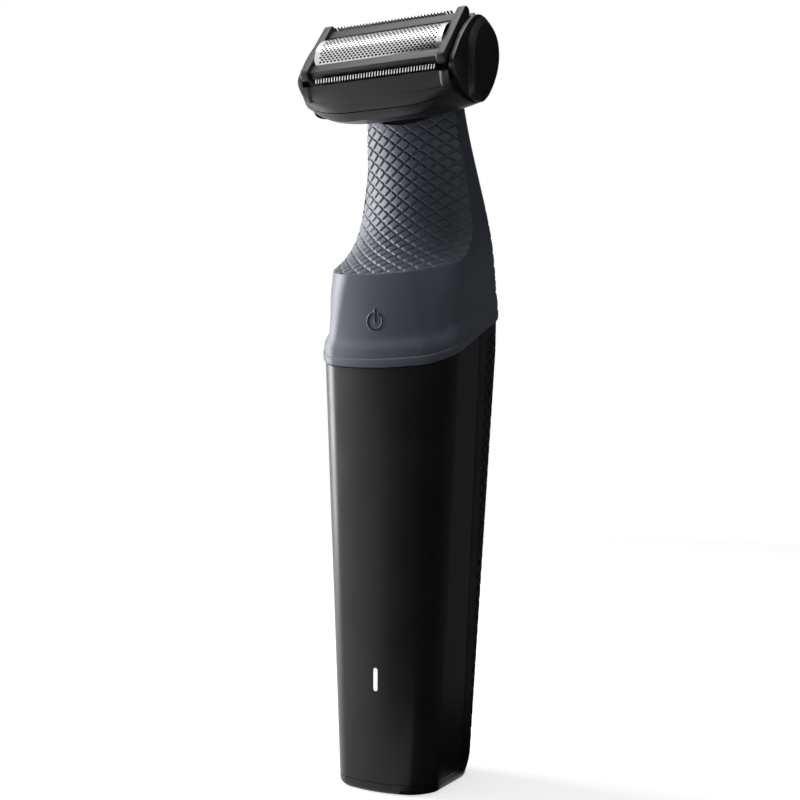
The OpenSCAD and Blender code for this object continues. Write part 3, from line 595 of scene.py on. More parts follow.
def make_front_shell():
    columns = half_columns(FRONT, side=6, corner=20, flat=24)
    grid = shell_grid(front_xy, columns, shell_rows(dense=40))
    grid = seam_edges(grid, -1, SEAM_WALL)
    grid = turned_in(grid, END_WALL)
    shell = grid_object("front_shell_skin", grid)
    cut(shell, slot_cutter(), SHARP_DEG)
    dress(shell, "handle", "shell_black", "front_shell")


def make_light():
    """Light pipe: a rounded plate just behind the front face."""
    points = []
    for inset, depth in LENS_PROFILE:
        points += slot_ring(LIGHT_W / 2 - inset, FRONT_TIP + LENS_SINK + depth)
    faces = grid_faces(len(LENS_PROFILE), SLOT_POINTS, True)
    faces.append(tuple(range(len(points) - SLOT_POINTS, len(points))))
    dress(mesh_object("light_pipe_lens", points, faces), "handle", "light_white", "light_pipe")


def make_rear_grip():
    columns = half_columns(REAR, side=10, corner=40, flat=90)
    grid = shell_grid(rear_xy, columns, shell_rows(dense=400))
    u = arc_length(grid)
    v = grid[:, :, 2]
    from_seam = np.minimum(u, arc_length(grid[:, ::-1])[:, ::-1])
    top = lip_z(grid[:, :, 1]) - v
    mask = fade_in(from_seam, *GRIP_SEAM) * fade_in(v, *GRIP_FOOT) * fade_in(top, *GRIP_TOP)
    height = (pads(u - u[:, -1:] / 2, v) - 1) * PAD_DEPTH * mask
    grid = grid + grid_normals(grid, False) * height[:, :, None]
    grid[:, :, 1] = np.maximum(grid[:, :, 1], SEAM_Y + GAP)
    grid = seam_edges(grid, 1, SEAM_WALL)
    grid = turned_in(grid, END_WALL)
    dress(grid_object("rear_grip_skin", grid, GRIP_SHARP), "handle", "grip_black", "rear_grip")


# Collar and neck
COLLAR_START = 2.46
FLARE_OUT = 0.32
LIP_PROFILE = ((0.06, 1.6), (0.06, 0.1), (0.09, -0.2), (0.16, -0.38), (0.3, -0.46), (0.6, -0.5),
               (1.2, -0.5), (1.75, -0.5), (1.9, -0.47), (1.98, -0.4), (2.04, -0.32), (2.12, -0.3),
               (2.25, -0.31), (COLLAR_START, -FLARE_OUT))
FLARE_FLUSH = 1.2
FLARE_H = 3.4
WAIST_IN = 0.75
WAIST_FRONT = 0.35
WAIST_TURN = 2.5
WAIST_FADE = 12
WAIST_LOW = 4
WAIST_H = 12
SCOOP_EDGE = 0.35
SCOOP_EDGE_TOP = 1.6
SCOOP_BLEND = 1.5
SCOOP_SAMPLES = 600
SCOOP_PAST = 20
MEET_STEPS = 60
PAD_START = (0.2, 0.4)
PAD_TOP = 4
PAD_TOP_FADE = 0.8
PAD_SIDE = (11, 3)
PAD_SIDE_FADE = 0.5
NAPE_TOP = (-141, 14)
NAPE_LIP = (4.5, 2)
NAPE_FRONT = (8, 2)
NAPE_RELIEF = 0.5
COLLAR_SHARE = 0.33
COLLAR_ROWS = 36
NECK_ROWS = 270
RIM_INSETS = (0.15, 0.6, 1.8)
RIM_LIFTS = (0.08, 0.1, 0.1)
BUTTON_GAP = 0.02
NECK_SHARP = 50
NECK_COLUMNS = half_columns(FRONT, side=14, corner=80, flat=72)
NAPE_COLUMNS = half_columns(REAR, side=6, corner=30, flat=60)
SPLIT = len(NECK_COLUMNS)
AROUND = SPLIT + len(NAPE_COLUMNS) - 2


def with_ends(values):
    """Values of the rear columns, with one more at each end."""
    return np.concatenate([values[:, :1], values[:, SPLIT:], values[:, :1]], axis=1)


def neck_xy(z, inset):
    """Places of all columns round the neck and the handle at their heights."""
    inset = np.broadcast_to(inset, z.shape)
    z_front = z[:, :SPLIT]
    fx, fy = front_xy(NECK_COLUMNS, z_front, inset[:, :SPLIT])
    floor = scoop_at(fx, z_front) + inset[:, :SPLIT]
    width = lerp(SCOOP_EDGE, SCOOP_EDGE_TOP, clamp01((z_front - SCOOP_Z) / (NECK_Z - SCOOP_Z)))
    scooped = smooth_max(fy, floor, width * clamp01((z_front - SCOOP_Z) / SCOOP_BLEND))
    fy = np.where(z_front > SCOOP_Z, scooped, fy)
    rx, ry = rear_xy(NAPE_COLUMNS, with_ends(z), with_ends(inset))
    x = np.concatenate([fx, rx[:, 1:-1]], axis=1)
    y = np.concatenate([fy, ry[:, 1:-1]], axis=1)
    return x, y


def lip_grid():
    rows = []
    for rise, inset in LIP_PROFILE:
        z = np.full((1, AROUND), LIP_FRONT_Z + rise)
        for _ in range(SETTLE_STEPS):
            z = lip_z(neck_xy(z, 0.0)[1]) + rise
        x, y = neck_xy(z, inset)
        rows.append(np.stack([x, y, z], axis=-1)[0])
    return np.array(rows)


def settled(start, target):
    """Heights of all columns at which the surface meets a slanted line."""
    z = np.full((1, AROUND), float(start))
    for _ in range(MEET_STEPS):
        z = 0.5 * z + 0.5 * target(neck_xy(z, 0.0)[1])
    return z


def collar_grid(shares, inset):
    """The collar from the lip band up; it flares out a little towards the band."""
    low = settled(LIP_FRONT_Z, lambda y: lip_z(y) + COLLAR_START)
    high = settled(NECK_Z, neck_top_z)
    z = lerp(low, high, shares[:, None])
    above = fade_in(z - low, FLARE_FLUSH, FLARE_H)
    flare = FLARE_OUT * (1 - above)
    waist = above * collar_waist(z, neck_xy(z, 0.0)[1])
    x, y = neck_xy(z, inset - flare + waist)
    return np.stack([x, y, z], axis=-1)


def neck_pads(grid):
    """Pads in the scoop and low on the nape."""
    x, y, z = np.moveaxis(grid, -1, 0)
    front = np.arange(AROUND)[None, :] < SPLIT
    v = along_scoop(z)
    depth = scoop_at(x, z) - front_depth(x, z)
    inside = fade_in(depth, *PAD_START) * front * (z > SCOOP_Z)
    fade = 1 - PAD_TOP_FADE * fade_in(neck_top_z(y) - z, PAD_TOP, -PAD_TOP)
    fade = fade * (1 - PAD_SIDE_FADE * fade_in(np.abs(x), *PAD_SIDE))
    nape = fade_in(-z, *NAPE_TOP) * fade_in(z - lip_z(y), *NAPE_LIP) * fade_in(y, *NAPE_FRONT)
    height = (pads(x, v) - 1) * inside * fade + (pads(x, z) - 1) * nape * NAPE_RELIEF
    return height * PAD_DEPTH


def along_scoop(z):
    """Length along the middle of the scoop, from its lower edge to a height."""
    heights = np.linspace(SCOOP_Z, NECK_Z + SCOOP_PAST, SCOOP_SAMPLES)
    depths = scoop_at(np.zeros_like(heights), heights)
    steps = np.hypot(np.diff(heights), np.diff(depths))
    return np.interp(z, heights, np.concatenate([[0], np.cumsum(steps)]))


def front_depth(x, z):
    """Depth of the handle's front, without the scoop, at a place seen from the front."""
    hw = half_w(z)
    r = np.minimum(corner_at(z), hw - LEAST_FLAT)
    over = np.maximum(0, np.abs(x) - (hw - r))
    round_y = -FRONT_Y + r - np.sqrt(np.maximum(0, r * r - over * over))
    return round_y - FRONT_CROWN * (1 - (x / hw) ** 2)


def collar_waist(z, y):
    """How far the collar draws in: less on the front panel than on the sides and not at the rear."""
    rise = z - lip_z(y) - COLLAR_START
    front = lerp(1.0, WAIST_FRONT, eased((-FRONT_Y + WAIST_TURN - y) / WAIST_TURN))
    rear = 1 - eased((y + FRONT_Y - WAIST_TURN) / WAIST_FADE)
    return WAIST_IN * front * rear * (1 - fade_in(rise, WAIST_LOW, WAIST_H))


def collar_front(x, z):
    """Depth of the collar's front face around the button."""
    y = front_depth(x, z)
    return y + collar_waist(z, y)


def button_hole(grid):
    """Leaves a round hole for the power button and moves the grid's points onto its edge."""
    rows, cols = grid.shape[:2]
    near = grid[:, :, 1] < 0
    distance = np.hypot(grid[:, :, 0], grid[:, :, 2] - BUTTON_Z)
    hole_r = BUTTON_R + BUTTON_GAP
    inside = near & (distance < hole_r)
    kept = []
    edge = set()
    for face in grid_faces(rows, cols, True):
        gone = [k for k in face if inside.flat[k]]
        if len(gone) < len(face):
            kept.append(face)
            edge.update(gone)
    flat = grid.reshape(-1, 3)
    for k in edge:
        share = hole_r / max(TINY, distance.flat[k])
        flat[k, 0] *= share
        flat[k, 2] = BUTTON_Z + (flat[k, 2] - BUTTON_Z) * share
        flat[k, 1] = collar_front(flat[k, 0], flat[k, 2])
    return flat, kept


def make_neck():
    low = np.linspace(0, COLLAR_SHARE, COLLAR_ROWS)[:-1]
    shares = np.concatenate([low, np.linspace(COLLAR_SHARE, 1, NECK_ROWS)])
    collar = collar_grid(shares, 0.0)
    height = neck_pads(collar)
    collar = collar + grid_normals(collar, True) * height[:, :, None]
    rim = np.concatenate([collar_grid(np.ones(1), inset) for inset in RIM_INSETS])
    rim[:, :, 2] += np.array(RIM_LIFTS)[:, None]
    grid = np.concatenate([lip_grid(), collar, rim])
    points, faces = button_hole(grid)
    neck = mesh_object("neck_grip_skin", points, faces, NECK_SHARP)
    dress(neck, "handle", "neck_blue_grey", "neck_grip")


# Power button with an engraved ring and bar, and painted shade in the lines
SYMBOL_R = 1.95
SYMBOL_GAP_DEG = 28
SYMBOL_BAR = (-0.2, 2.75)
SYMBOL_LINE = 0.28
SYMBOL_DEPTH = 0.16
SYMBOL_EDGE = 0.1
RIDGE_W = 0.2
RIDGE_H = 0.1
BUTTON_CENTRE_R = 0.02
BUTTON_EDGE = 0.03
BUTTON_RINGS = 90
BUTTON_POINTS = 180
SHADE_PAST = 0.03
SHADE_LIFT = 0.012
BUTTON_SHARP = 60


def to_symbol(x, z):
    """Distance from the middle of the symbol's lines."""
    angle = np.degrees(np.arctan2(np.abs(x), z))
    end = np.radians(SYMBOL_GAP_DEG)
    to_end = np.hypot(np.abs(x) - SYMBOL_R * np.sin(end), z - SYMBOL_R * np.cos(end))
    ring = np.where(angle > SYMBOL_GAP_DEG, np.abs(np.hypot(x, z) - SYMBOL_R), to_end)
    bar = np.hypot(x, z - np.clip(z, *SYMBOL_BAR))
    return np.minimum(ring, bar)


def symbol_depth(x, z):
    """Engraved lines with a fine ridge along them."""
    off = to_symbol(x, z) - SYMBOL_LINE / 2
    groove = SYMBOL_DEPTH * (1 - eased(off / SYMBOL_EDGE))
    ridge = RIDGE_H * eased(off / SYMBOL_EDGE) * (1 - fade_in(off, SYMBOL_EDGE, RIDGE_W))
    return groove - ridge


def make_button():
    radii = np.linspace(BUTTON_CENTRE_R, BUTTON_R - BUTTON_EDGE, BUTTON_RINGS)
    angles = np.linspace(0, 2 * math.pi, BUTTON_POINTS, endpoint=False)
    r, a = np.meshgrid(radii, angles, indexing="ij")
    x = r * np.cos(a)
    z = r * np.sin(a)
    y = collar_front(x, z + BUTTON_Z) + symbol_depth(x, z)
    face = np.stack([x, y, z + BUTTON_Z], axis=-1)
    edge = face[-1].copy()
    edge[:, 0] *= BUTTON_R / radii[-1]
    edge[:, 2] = BUTTON_Z + (edge[:, 2] - BUTTON_Z) * BUTTON_R / radii[-1]
    rings = [face, edge[None]]
    for radius, depth in BUTTON_STEM:
        ring = [radius * np.cos(angles), np.full(BUTTON_POINTS, depth), radius * np.sin(angles) + BUTTON_Z]
        rings.append(np.column_stack(ring)[None])
    grid = np.concatenate(rings)
    faces = tube_faces(len(grid), BUTTON_POINTS)
    button = mesh_object("power_button_cap", grid.reshape(-1, 3), faces, BUTTON_SHARP)
    dress(button, "button", "neck_blue_grey", "power_button")
    # Painted shade: a black sheet just over the engraved lines darkens them as shade in the grooves
    groove_shade = to_symbol(x, z) < SYMBOL_LINE / 2 + SHADE_PAST
    quads = grid_faces(BUTTON_RINGS, BUTTON_POINTS, True)
    faces = [f for f in quads if all(groove_shade.flat[k] for k in f)]
    face[:, :, 1] -= SHADE_LIFT
    symbol = mesh_object("power_symbol_painted_shade", face.reshape(-1, 3), faces, BUTTON_SHARP)
    loose_off(symbol)
    dress(symbol, "button", "head_black")


# Base cap
MOUTH_LOW = (-4.3, -9.2, -1)
MOUTH_HIGH = (4.3, -3.8, 4)
CAP_LEVELS = (0, 0.02, 0.08, 0.18, 0.32, 0.5, 0.75, 1.05, 1.4, 1.8, 2.2, BASE_CAP_H - GAP)
CAP_SHARP = 35


def make_base_cap():
    z = np.repeat(np.array(CAP_LEVELS)[:, None], AROUND, axis=1)
    x, y = neck_xy(z, 0.0)
    points = np.stack([x, y, z], axis=-1).reshape(-1, 3)
    cap = mesh_object("base_cap_skin", points, tube_faces(len(CAP_LEVELS), AROUND), CAP_SHARP)
    cut(cap, mesh_object("mouth_cutter", box_corners(MOUTH_LOW, MOUTH_HIGH), BOX_FACES), CAP_SHARP)
    dress(cap, "handle", "shell_black", "base_cap")


# Head housing
RIM_Z = -2.3
UPPER_PANEL = ((-10.2, RIM_Z), (-11.8, -3.65), (-13.2, -5.1))
LOWER_PANEL = ((-13.2, -5.1), (-14.1, -6.05), (-14.75, -7))
LOWER_RIM = ((-14.75, -7), (-15.15, -8.1), (-15.3, -9.2))
BELLY = ((-15.3, -9.2), (-11.6, -12.9), (-4.5, -18), (3.5, -19.6), (11, -16.6), (14.2, -11.5), (13.4, -6.5),
         (11.2, RIM_Z))
HULL_MIDDLE = np.array([0.0, -3.0])
HULL_STRAIGHT = 6
END_POWER = 2.2
FRONT_PINCH = 0.53
REAR_PINCH = 0.12
KEEL_LIFT = 0.08
HULL_DEPTH = 7
HULL_STATIONS = 121
HULL_SHARP = 32
HULL_WALL = 1.3
HULL_REACH = 16
INNER_SHARE = 1 - HULL_WALL / HULL_REACH
PANEL_STEPS = 8
BELLY_STEPS = 14
BORE_POINTS = 64
SLIT_W = 0.55
SLIT_DEPTH = 1.2
SLIT_END = (2.5, 1.5)
PANEL_SINK = 0.45
PANEL_STEP = 0.35
PANEL_END = (1.6, 0.7)


def catmull(p, count, closed):
    """Points of a smooth curve through given points."""
    p = np.asarray(p, dtype=float)
    n = len(p)
    points = []
    for i in range(n if closed else n - 1):
        index = range(i - 1, i + 3)
        if closed:
            a, b, c, d = (p[k % n] for k in index)
        else:
            a, b, c, d = (p[min(max(k, 0), n - 1)] for k in index)
        for k in range(count):
            t = k / count
            points.append(0.5 * (2 * b + (c - a) * t + (2 * a - 5 * b + 4 * c - d) * t * t
                                 + (3 * b - a - 3 * c + d) * t ** 3))
    if not closed:
        points.append(p[-1])
    return np.array(points)


def stepped(start, towards, distance):
    """The point at a distance from a start on the way to another point."""
    return start + (towards - start) / np.linalg.norm(towards - start) * distance


def hull_section(x, line):
    """The boat profile at a station, pinched towards the ends."""
    share = clamp01((abs(x) - HULL_STRAIGHT) / (HEAD_HALF - HULL_STRAIGHT)) ** END_POWER
    deep = clamp01((RIM_Z - line[:, 1]) / HULL_DEPTH)
    pinch = np.where(line[:, 0] < 0, FRONT_PINCH, REAR_PINCH)
    y = line[:, 0] * (1 - pinch * share * deep)
    z = RIM_Z + (line[:, 1] - RIM_Z) * (1 - KEEL_LIFT * share)
    return np.stack([y, z], axis=-1)


def hull_line():
    """The boat profile from the front edge under the keel to the rear edge, and how deep it is cut."""
    upper, lower, rim = (catmull(p, PANEL_STEPS, False) for p in (UPPER_PANEL, LOWER_PANEL, LOWER_RIM))
    belly = catmull(BELLY, BELLY_STEPS, False)
    slit_top = lower[-1]
    slit_low = stepped(slit_top, rim[1], SLIT_W)
    step = stepped(lower[0], lower[1], PANEL_STEP)
    line = np.concatenate([upper, [step], lower[2:], [slit_top, slit_low, slit_low], rim[2:], belly[1:]])
    slit = np.zeros(len(line))
    first = len(upper) + len(lower) - 1
    slit[first:first + 2] = SLIT_DEPTH
    sink = np.zeros(len(line))
    sink[:len(upper)] = PANEL_SINK
    return line, slit, sink


def bore_cutter():
    """A cylinder along the head's axis for the neck's boss."""
    turn = np.linspace(0, 2 * math.pi, BORE_POINTS, endpoint=False)
    ring = np.column_stack([BOSS_BORE_R * np.cos(turn), PIN_OFF + BOSS_BORE_R * np.sin(turn)])
    ends = [np.column_stack([ring, np.full(BORE_POINTS, z)]) for z in BORE_SPAN]
    return mesh_object("bore_cutter", in_head(np.concatenate(ends)), tube_faces(2, BORE_POINTS))


def make_head_housing():
    line, slit, sink = hull_line()
    rows = []
    for x in np.linspace(-HOUSING_HALF, HOUSING_HALF, HULL_STATIONS):
        outer = hull_section(x, line)
        inner = HULL_MIDDLE + INNER_SHARE * (outer - HULL_MIDDLE)
        inward = (HULL_MIDDLE - outer) / np.linalg.norm(HULL_MIDDLE - outer, axis=1, keepdims=True)
        from_end = HOUSING_HALF - abs(x)
        depth = slit * fade_in(from_end, *SLIT_END) + sink * fade_in(from_end, *PANEL_END)
        groove = outer + inward * depth[:, None]
        ring = np.concatenate([groove, inner[::-1]])
        rows.append(np.concatenate([np.full((len(ring), 1), x), ring], axis=1))
    grid = in_head(np.array(rows))
    count = grid.shape[1]
    faces = grid_faces(len(rows), count, True)
    for start in (0, (len(rows) - 1) * count):
        for k in range(len(line) - 1):
            faces.append((start + k, start + k + 1, start + count - 2 - k, start + count - 1 - k))
    housing = mesh_object("head_housing_skin", grid.reshape(-1, 3), faces, HULL_SHARP)
    cut(housing, bore_cutter(), HULL_SHARP)
    dress(housing, "head", "head_black", "head_housing")


# Cheeks of the head
CHEEK_MIDDLE = np.array([2.3, -8.1])
PLATE_OUTLINE = ((14.3, -8.7), (13.9, -12.6), (10.9, -16), (6, -17.9), (0.4, -17.9), (-3.2, -16.8),
                 (-5.0, -14.9), (-6.6, -12.5), (-7.9, -10), (-8.8, -7.2), (-9.4, -3.6), (-8.3, -1),
                 (-4.2, -0.3), (0, -0.1), (5, -0.5), (9.5, -1.8), (12.6, -4.6))
FACE_OUTLINE = ((14.1, -8.8), (13.7, -12.6), (10.8, -15.9), (6, -17.75), (0.4, -17.75), (-3.1, -16.6),
                (-5.3, -15), (-7.3, -13), (-8.1, -11.3), (-7.2, -9.5), (-4.2, -6.6), (-1.9, -4.6),
                (0.6, -3.2), (2.8, -2.5), (5.4, -2.2), (9.6, -2.9), (12.4, -4.9))
PLATE_PROFILE = ((0.0, 0.3), (0.03, 0.06), (0.12, 0.0), (1.16, 0.0), (1.25, 0.03), (1.3, 0.12))
FACE_PROFILE = ((1.3, 0.12), (1.32, 0.0), (1.42, 0.0), (1.46, 0.04), (2.3, 1.35), (2.4, 1.55), (2.46, 1.8),
                (2.54, 2.4), (2.62, 3.2), (2.7, 4.4))
CHEEK_STEPS = 8
CHEEK_LEAST = 0.05


def cheek_inset(line, inset):
    away = line - CHEEK_MIDDLE
    length = np.linalg.norm(away, axis=1, keepdims=True)
    return line - away / length * np.minimum(inset, length - CHEEK_LEAST)


def ledge(start):
    """Corners of the ledge inside the right cheek that carries a spring."""
    low = (SPRING_X - LEDGE_HALF, -LEDGE_HALF, LEDGE_TOP - LEDGE_T)
    return box_corners(low, (start + LEDGE_ROOT, LEDGE_HALF, LEDGE_TOP))


def make_cheek(node, sign):
    start = HOUSING_HALF + CAP_GAP
    rows = []
    for outline, profile in ((PLATE_OUTLINE, PLATE_PROFILE), (FACE_OUTLINE, FACE_PROFILE)):
        line = catmull(outline, CHEEK_STEPS, True)
        for out, inset in profile:
            ring = cheek_inset(line, inset)
            rows.append(np.column_stack([np.full(len(ring), start + out), ring]))
    count = len(rows[0])
    points = np.concatenate([*rows, ledge(start)])
    points[:, 0] *= sign
    faces = tube_faces(len(rows), count)
    faces += [tuple(len(rows) * count + k for k in face) for face in BOX_FACES]
    cheek = mesh_object(node + "_skin", in_head(points), faces, HULL_SHARP)
    dress(cheek, "head", "head_black", node)


# Coil springs on the ledges of the cheeks
COIL_R = 1.05
WIRE_R = 0.2
CURLS = 4
CURL_STEPS = 24
WIRE_SIDES = 10
SPRING_GAP = 0.12
SPRING_LOW = LEDGE_TOP + SPRING_GAP + WIRE_R


def make_springs():
    """Both coils as one piece, on the head, with a mesh of its own."""
    high = POST_BOTTOM - SPRING_GAP - WIRE_R
    rings = CURLS * CURL_STEPS + 1
    points = []
    faces = []
    for side in (-1, 1):
        first = len(points)
        for i in range(rings):
            a = 2 * math.pi * i / CURL_STEPS
            z = lerp(SPRING_LOW, high, i / (rings - 1))
            for k in range(WIRE_SIDES):
                b = 2 * math.pi * k / WIRE_SIDES
                r = COIL_R + WIRE_R * math.cos(b)
                points.append((side * SPRING_X + r * math.cos(a), r * math.sin(a), z + WIRE_R * math.sin(b)))
        faces += tube_faces(rings, WIRE_SIDES, first)
    coils = mesh_object("cassette_spring_coils", in_head(points), faces)
    dress(coils, "head", "steel", "cassette_springs")
    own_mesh(coils)


# Floating cassette
POST_FRONT = 9.2
POST_REAR = 10.1
POST_TOP = 1.2
HORN_R = 1.5
BAR_TOP = 0.4
BAR_BOTTOM = -1.6
BAR_JOIN = 0.3
RAIL_Y = 6.6
RAIL_HALF = 1
RAIL_BOTTOM = -6.4
RAIL_TOP = -5.3
FRAME_ROUND = 0.28
HORN_STEPS = 12
BEVEL_DEG = 30


def post_outline():
    """Side view of an end post with two rounded horns."""
    points = []
    for y, a0, a1 in ((-POST_FRONT + HORN_R, 270, 90), (POST_REAR - HORN_R, 90, -90)):
        for k in range(HORN_STEPS + 1):
            a = math.radians(lerp(a0, a1, k / HORN_STEPS))
            points.append((y + HORN_R * math.cos(a), POST_TOP - HORN_R + HORN_R * math.sin(a)))
    points.append((POST_REAR - HORN_R, POST_BOTTOM))
    points.append((-POST_FRONT + HORN_R, POST_BOTTOM))
    return points


def prism(bm, outline, x0, x1):
    """Adds a prism along the head's width to a mesh."""
    stretch(bm, [(x0, y, z) for y, z in outline], [(x1, y, z) for y, z in outline])


def stretch(bm, start, end):
    """Adds the solid between two outlines with as many points each."""
    near = [bm.verts.new(p) for p in start]
    far = [bm.verts.new(p) for p in end]
    count = len(near)
    bm.faces.new(near)
    bm.faces.new(far[::-1])
    for k in range(count):
        j = (k + 1) % count
        bm.faces.new((near[j], near[k], far[k], far[j]))


def rectangle(y0, y1, z0, z1):
    return [(y0, z0), (y1, z0), (y1, z1), (y0, z1)]


def bevelled(name, bm, width, segments=3):
    """Turns a mesh in the head's frame into an object with rounded edges."""
    bmesh.ops.recalc_face_normals(bm, faces=bm.faces)
    edges = [e for e in bm.edges if e.is_manifold and e.calc_face_angle() > math.radians(BEVEL_DEG)]
    bmesh.ops.bevel(bm, geom=edges, offset=width, segments=segments, affect="EDGES", profile=0.5,
                    clamp_overlap=True)
    bm.verts.index_update()
    points = in_head(np.array([v.co[:] for v in bm.verts]))
    faces = [tuple(v.index for v in f.verts) for f in bm.faces]
    bm.free()
    return mesh_object(name, points, faces)


def make_cassette_frame():
    bm = bmesh.new()
    for x0, x1 in ((-POST_OUT, -POST_IN), (POST_IN, POST_OUT)):
        prism(bm, post_outline(), x0, x1)
    for side in (-1, 1):
        bar = rectangle(side * BAR_Y - BAR_W / 2, side * BAR_Y + BAR_W / 2, BAR_BOTTOM, BAR_TOP)
        rail = rectangle(side * RAIL_Y - RAIL_HALF, side * RAIL_Y + RAIL_HALF, RAIL_BOTTOM, RAIL_TOP)
        for outline in (bar, rail):
            prism(bm, outline, -POST_IN - BAR_JOIN, POST_IN + BAR_JOIN)
    dress(bevelled("cassette_frame_body", bm, FRAME_ROUND), "cassette", "head_black", "cassette_frame")


# Front trimmer: fine slanted teeth on a strip
GUARD_Y = (-9.15, -8.8)
GUARD_BOTTOM = -4.6
TOOTH_ROOT = -2.9
TOOTH_TIP = -0.9
TOOTH_PITCH = 0.72
TOOTH_BASE = 0.2
TOOTH_END = 0.1
TOOTH_SLANT = 1.0
TOOTH_ROUND = 0.04
TOOTH_SINK = 0.1


def make_trimmer_guard():
    bm = bmesh.new()
    prism(bm, rectangle(*GUARD_Y, GUARD_BOTTOM, TOOTH_ROOT), -POST_IN, POST_IN)
    count = int((2 * POST_IN - TOOTH_SLANT - TOOTH_PITCH) / TOOTH_PITCH)
    for i in range(count):
        x = (i + 0.5 - count / 2) * TOOTH_PITCH - TOOTH_SLANT / 2
        tip = x + TOOTH_SLANT
        outline = [(x - TOOTH_BASE, TOOTH_ROOT - TOOTH_SINK), (x + TOOTH_BASE, TOOTH_ROOT - TOOTH_SINK),
                   (tip + TOOTH_END, TOOTH_TIP), (tip - TOOTH_END, TOOTH_TIP)]
        stretch(bm, *([(px, y, pz) for px, pz in outline] for y in GUARD_Y))
    dress(bevelled("front_trimmer_teeth", bm, TOOTH_ROUND, 2), "cassette", "steel", "front_trimmer_guard")


# Foil with oval holes in staggered rows
HOLE_PITCH = 1.0
HOLE_ROW = 0.56
REAR_ROW = 1.15
HOLE_R = 0.34
HOLE_LONG = 0.45
FOIL_EDGE = 0.5
CELL_RIM = ((1, 0), (1, 1), (0, 1), (-1, 1), (-1, 0), (-1, -1), (0, -1), (1, -1))
RIM_POINTS = len(CELL_RIM)
HOLE_POINTS = 2 * RIM_POINTS
FOIL_T = 0.04
FOIL_MARGIN = 1.2
FOIL_TUCK = 0.6
STRIP_STEP = 0.4
FOIL_SHARP = 50


class FoilMesh:
    """Collects the flat pattern of the foil: across in x, along its arch in s."""

    def __init__(self):
        self.points = []
        self.faces = []

    def add(self, *points):
        start = len(self.points)
        self.points.extend(points)
        return list(range(start, start + len(points)))

    def quad(self, x0, x1, s0, s1):
        steps = max(1, int((s1 - s0) / STRIP_STEP))
        for k in range(steps):
            a = lerp(s0, s1, k / steps)
            b = lerp(s0, s1, (k + 1) / steps)
            self.faces.append(self.add((x0, a, 0), (x1, a, 0), (x1, b, 0), (x0, b, 0)))

    def cell(self, x, s, height):
        hx = HOLE_PITCH / 2
        hs = height / 2
        rim = self.add(*[(x + i * hx, s + j * hs, 0) for i, j in CELL_RIM])
        ring = []
        for k in range(HOLE_POINTS):
            a = 2 * math.pi * k / HOLE_POINTS
            ring.append((x + HOLE_R * math.cos(a), s + HOLE_LONG * height * math.sin(a)))
        top, low = (self.add(*[(px, ps, z) for px, ps in ring]) for z in (0, -FOIL_T))
        for k in range(RIM_POINTS):
            n = (k + 1) % RIM_POINTS
            a, b, c = top[2 * k], top[2 * k + 1], top[(2 * k + 2) % HOLE_POINTS]
            self.faces.append([rim[k], b, a])
            self.faces.append([rim[k], rim[n], b])
            self.faces.append([rim[n], c, b])
        for k in range(HOLE_POINTS):
            n = (k + 1) % HOLE_POINTS
            self.faces.append([top[k], top[n], low[n], low[k]])


def on_foil(flat):
    """Bends the flat pattern onto the arch."""
    flat = np.asarray(flat, dtype=float)
    a = flat[:, 1] / FOIL_R
    r = FOIL_R + flat[:, 2]
    return in_head(np.column_stack([flat[:, 0], r * np.sin(a), FOIL_MIDDLE + r * np.cos(a)]))


def foil_rows(arc_half):
    """Middle and height of each row of holes; the rows grow towards the rear."""
    rows = []
    s = -arc_half + FOIL_EDGE
    while True:
        share = (s + arc_half) / (2 * arc_half)
        height = lerp(HOLE_ROW, REAR_ROW, share ** 2)
        if s + height > arc_half - FOIL_EDGE:
            return rows
        rows.append((s + height / 2, height))
        s += height


def make_foil():
    foil = FoilMesh()
    arc_half = FOIL_R * math.asin(FOIL_HALF / FOIL_R)
    rows = foil_rows(arc_half)
    cols = int((2 * (POST_IN - FOIL_MARGIN)) / HOLE_PITCH)
    field_x = cols * HOLE_PITCH / 2
    for i, (s, height) in enumerate(rows):
        shift = HOLE_PITCH / 2 if i % 2 else 0
        for j in range(cols - (i % 2)):
            foil.cell(-field_x + (j + 0.5) * HOLE_PITCH + shift, s, height)
        if i % 2:
            foil.quad(-field_x, -field_x + shift, s - height / 2, s + height / 2)
            foil.quad(field_x - shift, field_x, s - height / 2, s + height / 2)
    front = rows[0][0] - rows[0][1] / 2
    rear = rows[-1][0] + rows[-1][1] / 2
    foil.quad(-POST_IN, -field_x, front, rear)
    foil.quad(field_x, POST_IN, front, rear)
    foil.quad(-POST_IN, POST_IN, -arc_half - FOIL_TUCK, front)
    foil.quad(-POST_IN, POST_IN, rear, arc_half + FOIL_TUCK)
    sheet = mesh_object("shaving_foil_sheet", on_foil(foil.points), foil.faces, FOIL_SHARP)
    dress(sheet, "cassette", "steel", "shaving_foil")
    sheet.data.materials[0] = FOIL_STEEL


# Looks of the frame's own nodes, with painted shade on those seen through the foil and behind the trimmer
# teeth: near-black blades and a black cutter block
# Painted shade: these nodes are made near black so the inside of the head reads dark
NODE_PAINTED_SHADE = {"cutter_blades": BLADE_PAINTED_SHADE, "cutter_block": LOOKS["head_black"],
              "front_trimmer_blade": BLADE_PAINTED_SHADE}


def dress_nodes():
    """Gives every frame node the looks of its slot, or the painted shade named for it above."""
    for part in frame["record"]["subparts"]:
        node = frame["nodes"][part["node"]]
        node.data.materials.clear()
        node.data.materials.append(NODE_PAINTED_SHADE.get(part["node"], LOOKS[part["material_slot"]]))


# Stage
WHITE = (1, 1, 1, 1)
WORLD_FILL = 0.12
FLOOR_GLOW = 0.72
FLOOR_R = 560
FLOOR_Z = -0.05
FLOOR_POINTS = 64
FLAG_R = 70
FLAG_POINTS = 13
SIDE_GLOW = 0.11
FLOOR_CARD = (20, 195)
FLOOR_CARD_R = 15
FLOOR_CARD_Z = 0.3
